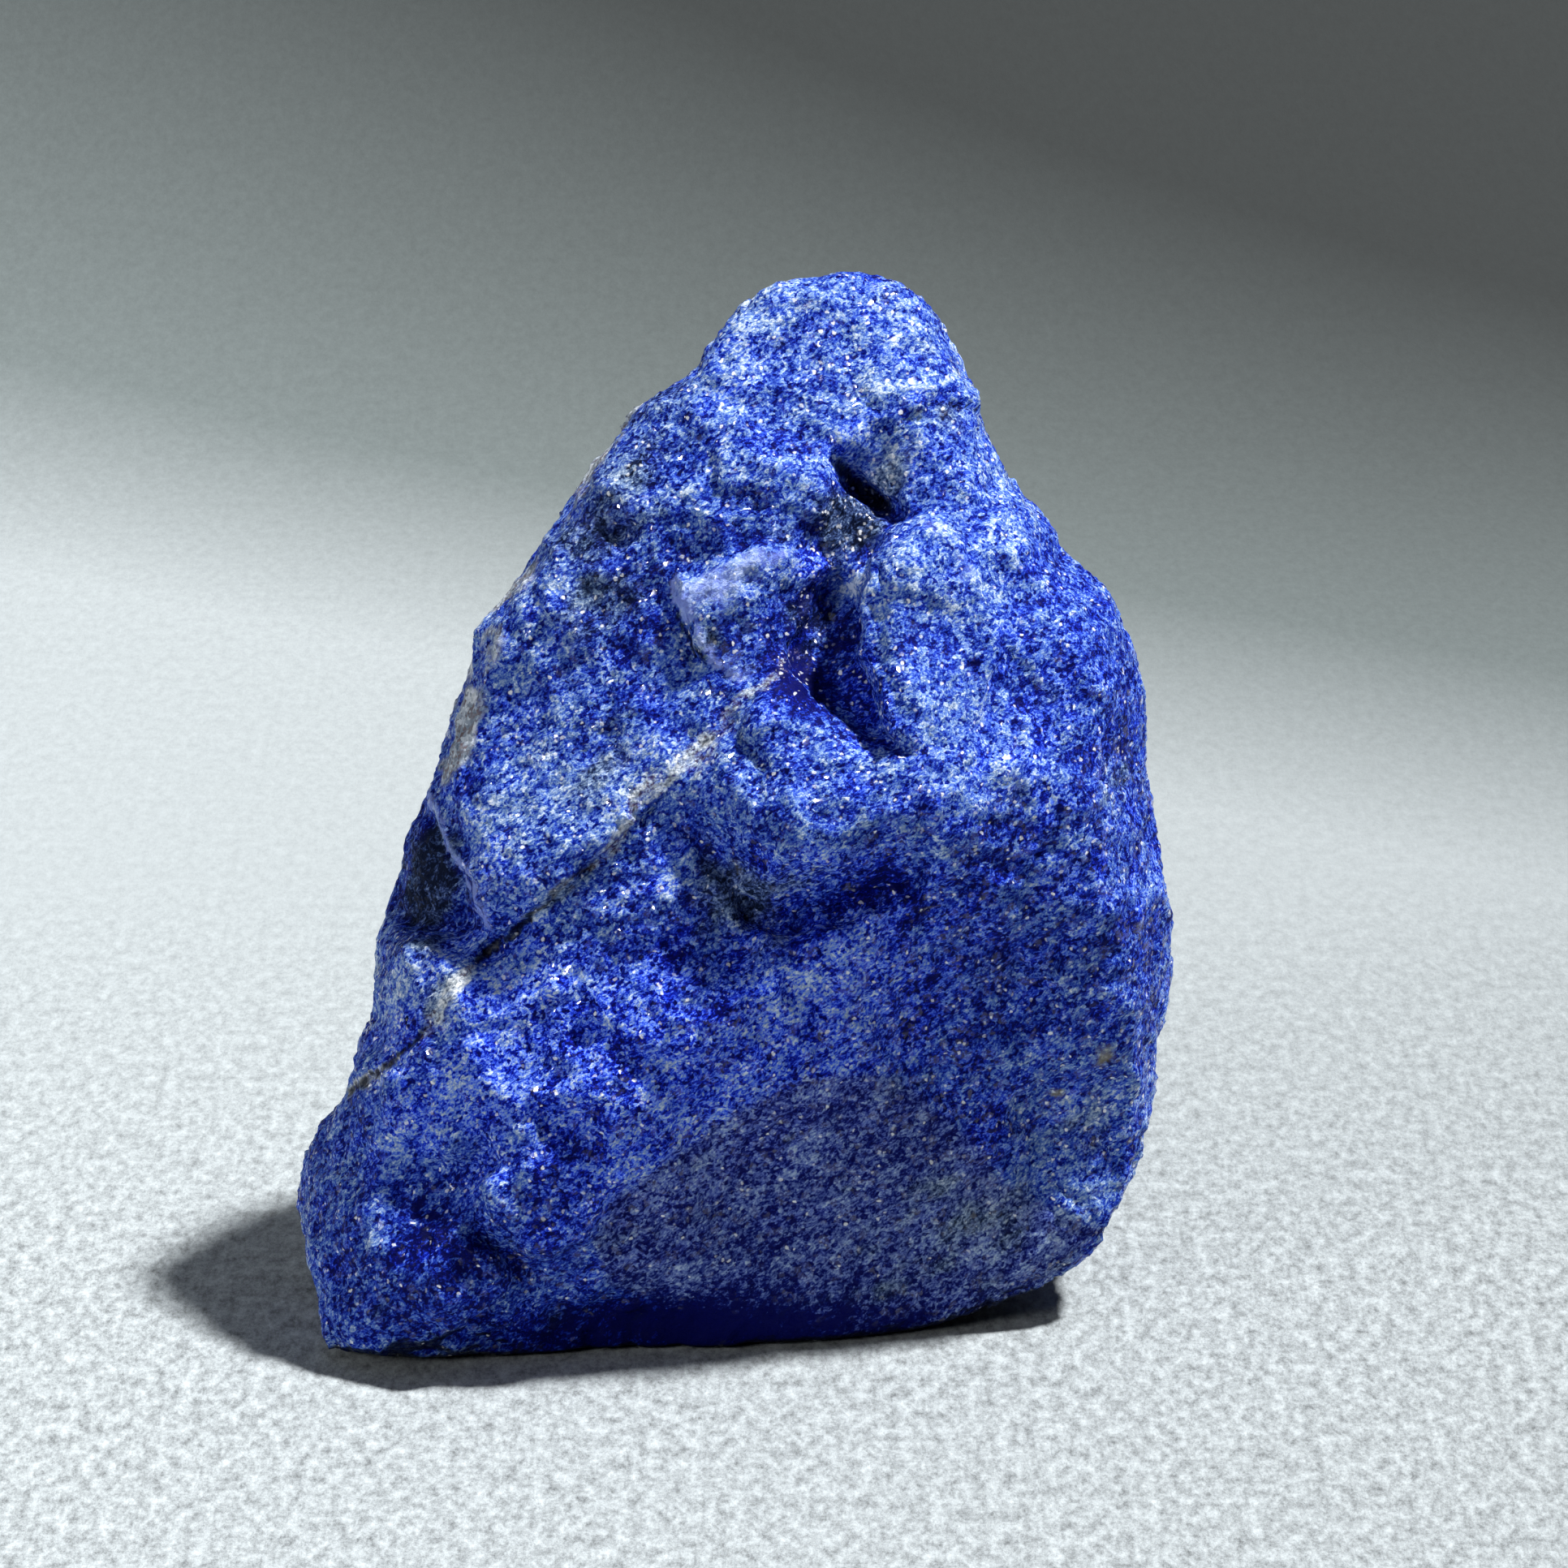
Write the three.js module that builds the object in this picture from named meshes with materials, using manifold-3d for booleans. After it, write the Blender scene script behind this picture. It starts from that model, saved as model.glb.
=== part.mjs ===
// Rough lapis lazuli: one broken chunk of lapis rock, standing on a flat broken facet.
// Millimetres, +Z up. +X is to the right and +Y to the back, as its best face is seen from the front.
// The origin is on the resting facet's plane, under the middle of the chunk's bounding box.
//
// The chunk is all the points that lie
//   - behind every broken facet, after ledges and swells have moved the front ones,
//   - inside the outline, which tucks in to the front and back of its rim,
//   - outside every shell-shaped scar,
//   - above the resting facet.
// Rays from a spine inside it find where it ends, and a cut makes the resting facet flat.
import * as THREE from "three";
import { mergeVertices } from "three/addons/utils/BufferGeometryUtils.js";
import Module from "manifold-3d";

// ---------------------------------------------------------------- driving dimensions

const SIZE = new THREE.Vector3(38.4, 25.5, 46.4); // across, front to back, and tall
const HEART = new THREE.Vector3(0.5, -1.5, 19); // the middle of the spine that the rays start from
const HALF_SPINE = new THREE.Vector3(2, 1.5, 12); // from the heart up to the spine's top
const FACE_SPLITS = 20; // splits of each icosahedron edge
const OUTLINE_TILT = THREE.MathUtils.degToRad(20); // the outline is drawn looking this far down on the chunk
const OUTLINE_STEPS = 320; // straight pieces that stand for the smooth outline
const RIM_RADIUS = 13; // how round the chunk is from front to back at its rim
const EDGE_BLEND = 1.1; // rounding where two facets meet
const LEDGE_SOFTNESS = 1.6; // width over which a ledge drops
const BELOW_GROUND = 3; // how far the uncut chunk reaches below its resting facet
const STEP_COUNT = 60; // first search along a ray
const HALVINGS = 20; // then it is narrowed down
const LAPIS_BLUE = 0x27379c;

const SIN = Math.sin(OUTLINE_TILT);
const COS = Math.cos(OUTLINE_TILT);

// Positions on the front face are [u, v]: u runs to the right and v up, seen along the tilted line of sight.
const faceU = (p) => p.x;
const faceV = (p) => p.y * SIN + p.z * COS;
const pointOnFace = (u, v, y) => new THREE.Vector3(u, y, (v - y * SIN) / COS);

// ---------------------------------------------------------------- outline

// Clockwise from the tip: the knob, the right shoulder with its two notches, the right side, the raised
// lower right corner, the underside, the foot lobe at left, the long left slope and back to the knob.
const OUTLINE = [
  [5, 45.8], [6.4, 45.2], [8.1, 43.5], [8.8, 42.2], [9.4, 40.6],
  [10.4, 38.6], [11.2, 36.8], [11.5, 35.6], [12.7, 34.6], [13.9, 33.4],
  [14.2, 32.4], [15.3, 31.6], [16.9, 29.6], [17.9, 27.6], [18.2, 25.5],
  [18.1, 23.2], [18.5, 20.4], [19, 17.4], [19.2, 15], [18.9, 12.2],
  [18.5, 9.4], [17.8, 6.2], [16.9, 3.6], [15.5, 1.4], [13.7, 0.2],
  [11.3, -1.2], [8.4, -2.2], [4, -2.7], [0, -2.9], [-4, -3],
  [-9, -2.9], [-14, -3], [-17, -2.9], [-18.4, -1.8], [-19, 0.2],
  [-20.1, 2], [-20.2, 4.4], [-19.3, 6.4], [-17.9, 7.6], [-17.4, 8.8],
  [-17.1, 10.1], [-16.3, 12.4], [-15.8, 14.6], [-15.2, 17.4], [-14.6, 19.8],
  [-13.7, 21.9], [-13, 24.1], [-12.2, 26.6], [-11.5, 28.6], [-10, 30.8],
  [-8.2, 33.4], [-6.3, 36], [-4.9, 37.8], [-4.1, 39], [-2, 40.3],
  [-0.6, 42], [1.1, 43.5], [3, 44.8],
];

const outlineCurve = new THREE.CatmullRomCurve3(
  OUTLINE.map(([u, v]) => new THREE.Vector3(u, v, 0)), true, "centripetal",
);
const outlinePoints = outlineCurve.getPoints(OUTLINE_STEPS);

// How deep a face position is inside the outline, negative outside.
function insideOutline(u, v) {
  let nearest = Infinity;
  let inside = false;
  for (let i = 0; i < outlinePoints.length - 1; i++) {
    const a = outlinePoints[i];
    const b = outlinePoints[i + 1];
    const du = b.x - a.x;
    const dv = b.y - a.y;
    const along = ((u - a.x) * du + (v - a.y) * dv) / (du * du + dv * dv);
    const t = THREE.MathUtils.clamp(along, 0, 1);
    nearest = Math.min(nearest, Math.hypot(u - a.x - t * du, v - a.y - t * dv));
    if (a.y > v !== b.y > v && u < a.x + ((v - a.y) / dv) * du) inside = !inside;
  }
  return inside ? nearest : -nearest;
}

// The rim is far forward under the belly, and behind the middle at the tip.
function rimDepth(v) {
  const rise = THREE.MathUtils.smoothstep(v, -3, 13);
  return THREE.MathUtils.lerp(-8.8, 0.4, rise) + 0.1 * Math.max(0, v - 13);
}

// ---------------------------------------------------------------- broken facets

// A facet through a point. turn is where it faces, in degrees to the right of the front, and lean is how far
// it faces up.
function facet(at, turn, lean) {
  const t = THREE.MathUtils.degToRad(turn);
  const l = THREE.MathUtils.degToRad(lean);
  const normal = new THREE.Vector3(
    Math.sin(t) * Math.cos(l), -Math.cos(t) * Math.cos(l), Math.sin(l),
  );
  return new THREE.Plane().setFromNormalAndCoplanarPoint(normal, at);
}

const FRONT_FACETS = [
  facet(pointOnFace(-3, 22, -8.4), -8, 24), // main face
  facet(pointOnFace(11, 27, -7.2), 14, 30), // right slab
  facet(pointOnFace(12, 20, -9.9), 13, -10), // right side, below the slab
  facet(pointOnFace(3, 41, 0), -2, 38), // knob
  facet(pointOnFace(6, 45.5, 3.6), 30, 66), // top of the knob
  facet(pointOnFace(-4, 38, -0.9), -26, 33), // left of the knob
  facet(pointOnFace(2, 6, -13), 5, -11), // belly, which hangs over a little
  facet(pointOnFace(1, -1, -12.2), 2, -44), // under the belly
  facet(pointOnFace(16, 4, -8), 14, -8), // lower right
  facet(pointOnFace(-13, 5, -10.2), -26, 4), // foot lobe
  facet(pointOnFace(-6, 10, -10.9), -20, 19), // lower left
];

const OTHER_FACETS = [
  facet(pointOnFace(-12.6, 27, -3), -66, 14), // weathered left flank
  facet(pointOnFace(20.2, 17, -1), 76, 2), // right flank
  facet(new THREE.Vector3(0, 11.4, 14), 176, 13), // back
  facet(new THREE.Vector3(4, 6.6, 40), 190, 27), // back of the knob
  facet(new THREE.Vector3(-12, 7.6, 12), 228, 14), // back, left
  facet(new THREE.Vector3(13.5, 7, 16), 140, 9), // back, right
  facet(new THREE.Vector3(-2, 11, 4), 184, -16), // foot of the back
  facet(new THREE.Vector3(12, 6, 4), 128, -24), // raised corner at the back
  facet(new THREE.Vector3(-6, 8.6, 30), 205, 20), // upper back, left
];

// Shell-shaped scars where chips flew off: the centre and radius of each scooping sphere.
const SCARS = [
  [pointOnFace(-16.4, 18.4, -8), 5], // under the left slab
  [new THREE.Vector3(-3, 21, 27), 11],
  [new THREE.Vector3(10, 20.5, 13), 12],
  [new THREE.Vector3(-21, 14, 17), 9.5],
  [new THREE.Vector3(24.5, 9, 29), 11.5],
  [new THREE.Vector3(-13, 17.5, 5), 9],
  [new THREE.Vector3(27, 3, 10), 8.6],
];

// ---------------------------------------------------------------- relief of the front face

// Each ledge runs along its edge, with the high side to the left of the way it runs. drop is the height of the
// step, raised the share of it that stands above the facet, and high and low how far each side takes to fade.
const LEDGES = [
  // The left slab's free edge, over the deep chip at the left rim.
  { edge: [[-14, 22.6], [-13.4, 21.2], [-12.8, 19.7], [-11.8, 18.2], [-11.3, 16.8], [-10.4, 15.4]],
    drop: 2.8, raised: 0.35, high: 7, low: 5.5 },
  // The same slab along the vein.
  { edge: [[-10.8, 15.2], [-8.2, 17.2], [-5.6, 19.4], [-4.3, 21.2], [-1.6, 23.4]],
    drop: 1.3, raised: 0.5, high: 6, low: 4 },
  // The raised flake's lower left edge.
  { edge: [[-2.9, 31.6], [-2.8, 30.4], [-2.1, 29], [-1.7, 28], [-0.9, 27.2], [0.8, 26.4]],
    drop: 0.5, raised: 0.6, high: 5, low: 3.5 },
  // The right slab's left wall, above the recess in the middle.
  { edge: [[7.4, 34.2], [6, 32], [5.3, 30.2], [5.3, 28], [5.8, 26.2], [6.5, 24.6], [8, 23]],
    drop: 3, raised: 0.45, high: 9, low: 4 },
  // The foot lobe's right edge.
  { edge: [[-13.6, -2.4], [-12.1, -1.2], [-10.6, 0.2], [-10.3, 1.2], [-11.2, 2.3], [-12.3, 3.5]],
    drop: 1.9, raised: 0.45, high: 6, low: 4 },
];

// Swells and hollows: middle, half length along and across, turn in degrees, and height.
const SWELLS = [
  { at: [3.4, 21.4], along: 5.5, across: 4.2, turn: 10, height: 1.5 }, // block in the middle
  { at: [2.6, 16.6], along: 5.4, across: 1.7, turn: 20, height: -1.5 }, // V-shaped hollow under it, right
  { at: [-1.2, 17.9], along: 3.4, across: 1.5, turn: -48, height: -1.2 }, // the same, left
  { at: [4.6, 32.6], along: 3.6, across: 1.6, turn: 55, height: -1.2 }, // glittering recess
  { at: [3.6, 27.6], along: 3.4, across: 1.8, turn: 75, height: -1.3 }, // recess beside the right slab
  { at: [5.7, 35], along: 2.4, across: 0.8, turn: -40, height: -1.3 }, // cleft above the right slab
  { at: [-15, 5.8], along: 4, across: 1.5, turn: 20, height: -0.7 }, // above the foot lobe
  { at: [-5, -1.2], along: 4, across: 1.6, turn: 0, height: -1.4 }, // arch under the belly
  { at: [14.5, 21.5], along: 3.6, across: 2.4, turn: 20, height: -0.7 }, // turn of the slab to the right side
  { at: [14.2, 7.2], along: 3.4, across: 2.8, turn: 60, height: -0.8 }, // glittering hollow, lower right
];

function nearestOnEdge(edge, u, v) {
  let best = { away: Infinity };
  for (let i = 0; i < edge.length - 1; i++) {
    const [au, av] = edge[i];
    const du = edge[i + 1][0] - au;
    const dv = edge[i + 1][1] - av;
    const t = THREE.MathUtils.clamp(((u - au) * du + (v - av) * dv) / (du * du + dv * dv), 0, 1);
    const away = Math.hypot(u - au - t * du, v - av - t * dv);
    const side = du * (v - av) - dv * (u - au) >= 0 ? 1 : -1;
    if (away < best.away) best = { away, side, along: (i + t) / (edge.length - 1) };
  }
  return best;
}

const fadeOut = (share) => Math.pow(1 - THREE.MathUtils.clamp(share, 0, 1), 2);

function ledgeHeight({ edge, drop, raised, high, low }, u, v) {
  const { away, side, along } = nearestOnEdge(edge, u, v);
  const taper = THREE.MathUtils.smoothstep(Math.min(along, 1 - along), 0, 0.18);
  const onto = THREE.MathUtils.smoothstep(side * away, -LEDGE_SOFTNESS / 2, LEDGE_SOFTNESS / 2);
  const top = drop * raised * fadeOut(away / high);
  const foot = -drop * (1 - raised) * fadeOut(away / low);
  return taper * THREE.MathUtils.lerp(foot, top, onto);
}

function swellHeight({ at, along, across, turn, height }, u, v) {
  const t = THREE.MathUtils.degToRad(turn);
  const a = ((u - at[0]) * Math.cos(t) + (v - at[1]) * Math.sin(t)) / along;
  const c = ((v - at[1]) * Math.cos(t) - (u - at[0]) * Math.sin(t)) / across;
  return height * Math.exp(-(a * a + c * c));
}

function relief(u, v) {
  let height = 0;
  for (const ledge of LEDGES) height += ledgeHeight(ledge, u, v);
  for (const swell of SWELLS) height += swellHeight(swell, u, v);
  return height;
}

// ---------------------------------------------------------------- unevenness of broken rock

// [length of a wave, height], coarse to fine.
const UNEVENNESS = [[9, 0.5], [4.5, 0.32], [2.4, 0.16]];

function latticeValue(i, j, k) {
  let h = Math.imul(i, 374761393) ^ Math.imul(j, 668265263) ^ Math.imul(k, 2147483647);
  h = Math.imul(h ^ (h >>> 13), 1274126177);
  return (((h ^ (h >>> 16)) >>> 0) / 4294967295) * 2 - 1;
}

function smoothNoise(x, y, z) {
  const cell = [x, y, z].map(Math.floor);
  const within = [x, y, z].map((value, axis) => THREE.MathUtils.smoothstep(value - cell[axis], 0, 1));
  let sum = 0;
  for (let corner = 0; corner < 8; corner++) {
    const offset = [corner & 1, (corner >> 1) & 1, corner >> 2];
    const weight = offset.reduce((w, o, axis) => w * (o ? within[axis] : 1 - within[axis]), 1);
    sum += weight * latticeValue(...cell.map((c, axis) => c + offset[axis]));
  }
  return sum;
}

function unevenness(p) {
  return UNEVENNESS.reduce(
    (sum, [wave, height]) => sum + height * smoothNoise(p.x / wave, p.y / wave, p.z / wave), 0,
  );
}

// ---------------------------------------------------------------- the chunk

// The larger of two distances, rounded where they are about equal.
function smoothMax(a, b, blend) {
  const h = Math.max(blend - Math.abs(a - b), 0) / blend;
  return Math.max(a, b) + (h * h * blend) / 4;
}

const furthestOut = (facets, p) =>
  facets.map((f) => f.distanceToPoint(p)).reduce((a, b) => smoothMax(a, b, EDGE_BLEND));

// How far a point is outside the chunk, above its resting facet: negative inside.
function outside(p) {
  const u = faceU(p);
  const v = faceV(p);
  const front = furthestOut(FRONT_FACETS, p) - relief(u, v);
  const others = furthestOut(OTHER_FACETS, p);
  const tuck = (p.y - rimDepth(v)) ** 2 / (2 * RIM_RADIUS);
  const rim = tuck - insideOutline(u, v);
  let out = smoothMax(smoothMax(front, others, EDGE_BLEND), rim, EDGE_BLEND / 2);
  for (const [centre, radius] of SCARS) {
    out = smoothMax(out, radius - p.distanceTo(centre), EDGE_BLEND);
  }
  return out - unevenness(p) * THREE.MathUtils.smoothstep(-rim, 0, 2);
}

function surfaceAlong(start, direction) {
  const reach = SIZE.length();
  const at = (distance) => start.clone().addScaledVector(direction, distance);
  const ends = (p) => p.z < -BELOW_GROUND || outside(p) > 0;
  let near = 0;
  let far = 0;
  do {
    near = far;
    far += reach / STEP_COUNT;
  } while (!ends(at(far)));
  for (let i = 0; i < HALVINGS; i++) {
    const middle = (near + far) / 2;
    if (ends(at(middle))) far = middle;
    else near = middle;
  }
  return at((near + far) / 2);
}

// An icosahedron's fine net, pushed out from the spine to the chunk's surface. Up and down the net, each ray
// starts further along the spine, so that it meets the long front face squarely.
function uncutChunk() {
  const net = new THREE.IcosahedronGeometry(1, FACE_SPLITS);
  net.deleteAttribute("normal");
  net.deleteAttribute("uv");
  const geometry = mergeVertices(net, 1e-5);
  const position = geometry.getAttribute("position");
  const beyondSpine = SIZE.clone().setZ(SIZE.z - 2 * HALF_SPINE.z);
  for (let i = 0; i < position.count; i++) {
    const direction = new THREE.Vector3().fromBufferAttribute(position, i);
    const start = HEART.clone().addScaledVector(HALF_SPINE, direction.z);
    direction.multiply(beyondSpine).normalize();
    position.setXYZ(i, ...surfaceAlong(start, direction).toArray());
  }
  return geometry;
}

const wasm = await Module();
wasm.setup();

function solidOf(geometry) {
  return new wasm.Manifold(new wasm.Mesh({
    numProp: 3,
    vertProperties: new Float32Array(geometry.getAttribute("position").array),
    triVerts: new Uint32Array(geometry.index.array),
  }));
}

function geometryOf(solid) {
  const { vertProperties, triVerts } = solid.getMesh();
  return new THREE.BufferGeometry()
    .setAttribute("position", new THREE.BufferAttribute(vertProperties, 3))
    .setIndex(new THREE.BufferAttribute(triVerts, 1));
}

// Everything under the plane of the resting facet.
function groundBlock() {
  const side = SIZE.length() * 2;
  const box = new THREE.BoxGeometry(side, side, side).translate(0, 0, -side / 2);
  box.deleteAttribute("normal");
  box.deleteAttribute("uv");
  return mergeVertices(box, 1e-5);
}

const chunk = geometryOf(solidOf(uncutChunk()).subtract(solidOf(groundBlock())));
chunk.computeBoundingBox();
const middle = chunk.boundingBox.getCenter(new THREE.Vector3());
chunk.translate(-middle.x, -middle.y, 0);
chunk.computeVertexNormals();

const lapisStone = new THREE.Mesh(
  chunk,
  new THREE.MeshStandardMaterial({ color: LAPIS_BLUE, roughness: 0.6, metalness: 0, flatShading: true }),
);
lapisStone.name = "lapis_stone";

const roughLapisLazuli = new THREE.Group();
roughLapisLazuli.name = "rough_lapis_lazuli";
roughLapisLazuli.add(lapisStone);

export default roughLapisLazuli;
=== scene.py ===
"""Rough lapis lazuli: one broken chunk of granular blue rock, on a plain pale stage.

The CAD solid gives the chunk's broad form. It is rounded, given a fine even skin, and broken up: sharp
ledges, clefts, pits, chipped facets and mineral grains. Each point of the skin also notes what the rock is
like there, such as vein, weathered rind or smooth slip face, and where shade, highlights and glints are
painted into its colour. The rock's material reads those notes.
"""

import math

import bmesh
import bpy
import numpy as np
from bpy.props import FloatProperty, FloatVectorProperty, PointerProperty
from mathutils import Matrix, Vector, noise


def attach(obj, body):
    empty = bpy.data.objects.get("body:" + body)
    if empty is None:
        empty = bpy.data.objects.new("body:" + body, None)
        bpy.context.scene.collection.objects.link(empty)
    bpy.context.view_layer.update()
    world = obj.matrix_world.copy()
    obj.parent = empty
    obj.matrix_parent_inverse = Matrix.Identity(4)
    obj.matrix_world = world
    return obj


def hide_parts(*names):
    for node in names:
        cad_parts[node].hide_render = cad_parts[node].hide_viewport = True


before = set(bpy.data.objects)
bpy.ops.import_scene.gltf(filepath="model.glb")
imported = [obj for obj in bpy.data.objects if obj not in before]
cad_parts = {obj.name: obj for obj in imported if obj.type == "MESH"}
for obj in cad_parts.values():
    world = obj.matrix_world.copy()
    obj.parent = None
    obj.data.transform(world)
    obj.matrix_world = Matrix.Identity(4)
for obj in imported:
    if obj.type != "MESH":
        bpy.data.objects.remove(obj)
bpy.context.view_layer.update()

bl_info = {
    "name": "Rough Lapis Lazuli",
    "version": (1, 0, 0),
    "blender": (4, 5, 0),
    "location": "View3D > Sidebar > Lapis",
    "description": "Breaks and colours a rough chunk of lapis lazuli and sets it on a plain stage",
    "category": "Object",
}

MM = 0.001

# The chunk's front is described on a drawing. Its positions are (u, v) in millimetres: u runs to the right
# and v up, looking DRAWING_TILT down on the chunk. DRAWING_ORIGIN is where (0, 0) lies in the frame.
DRAWING_TILT = math.radians(20)
DRAWING_ORIGIN = np.array([0.27, -0.29, 0.0])
SIN = math.sin(DRAWING_TILT)
COS = math.cos(DRAWING_TILT)
TOWARDS_EYE = np.array([0.0, -COS, SIN])

# Each ledge runs along its edge, with the high side to the left of the way it runs. drop is the height of
# the step, raised the share of it that stands above the face, and high and low how far each side takes to
# fade. was is the width of the soft ledge that the CAD solid already has there, or 0. The last number is
# how strongly its thin edge is painted with a lilac highlight, as if light soaked through it.
LEDGES = (
    # The left slab's free edge, over the deep chip at the left rim.
    dict(edge=((-14, 22.6), (-13.4, 21.2), (-12.8, 19.7), (-11.8, 18.2), (-11.3, 16.8), (-10.4, 15.4)),
         drop=2.8, raised=0.35, high=7, low=5.5, was=1.6, rim=1.4),
    # The same slab along the vein.
    dict(edge=((-10.8, 15.2), (-8.2, 17.2), (-5.6, 19.4), (-4.3, 21.2), (-1.6, 23.4)),
         drop=1.3, raised=0.5, high=6, low=4, was=1.6, rim=0.6),
    # The raised flake's lower left edge.
    dict(edge=((-2.9, 31.6), (-2.8, 30.4), (-2.1, 29), (-1.7, 28), (-0.9, 27.2), (0.8, 26.4)),
         drop=0.5, raised=0.6, high=5, low=3.5, was=1.6, rim=0.7),
    # The right slab's left wall, above the recess in the middle.
    dict(edge=((7.4, 34.2), (6, 32), (5.3, 30.2), (5.3, 28), (5.8, 26.2), (6.5, 24.6), (8, 23)),
         drop=3, raised=0.45, high=9, low=4, was=1.6, rim=0.4),
    # The foot lobe's right edge.
    dict(edge=((-13.6, -2.4), (-12.1, -1.2), (-10.6, 0.2), (-10.3, 1.2), (-11.2, 2.3), (-12.3, 3.5)),
         drop=1.9, raised=0.45, high=6, low=4, was=1.6, rim=0),
    # The lit sill under the V-shaped hollow.
    dict(edge=((8.4, 18.2), (7, 17.4), (5.6, 16.9), (4.6, 16.4), (3.4, 16.1), (2.6, 15.6), (1.4, 15.7),
               (0.3, 16.3)),
         drop=0.7, raised=0.7, high=2.5, low=2, was=0, rim=0),
    # The right slab's spine, down to the sill.
    dict(edge=((8.6, 18.8), (8.9, 20.5), (9.3, 22.4), (10, 24.2), (10.8, 26.2), (11.3, 28.2), (10.8, 30)),
         drop=0.5, raised=0.6, high=2.5, low=2.5, was=0, rim=0),
    # The low scarp down the right, where the slab turns to the darker side.
    dict(edge=((12, 12.6), (11.6, 15.5), (12.4, 18.5), (13.8, 21), (15, 24)),
         drop=0.35, raised=0.5, high=3, low=2.5, was=0, rim=0),
    # Small steps over the lower left.
    dict(edge=((-9.5, 9.2), (-8, 8.4), (-6.4, 8.6), (-5, 9.6)),
         drop=0.5, raised=0.5, high=2, low=1.6, was=0, rim=0),
    dict(edge=((-14.5, 12), (-12, 11.6), (-10, 12), (-8.6, 12.6), (-7, 14)),
         drop=0.35, raised=0.5, high=2, low=1.6, was=0, rim=0),
)
# In millimetres: how wide a ledge's step is, and how far and in how long waves all edges wander.
LEDGE_WIDTH = 0.22
EDGE_WANDER = 0.2
EDGE_WAVE = 1.3


def flat_pane(outline, most, none, rise, **notes):
    """A flat flake, or a recess where one broke off. It stands out by rise at the point most, and falls
    evenly to nothing at the point none. It may also add to the notes of its rock."""
    return dict(outline=outline, most=most, none=none, rise=rise, notes=notes)


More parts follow.
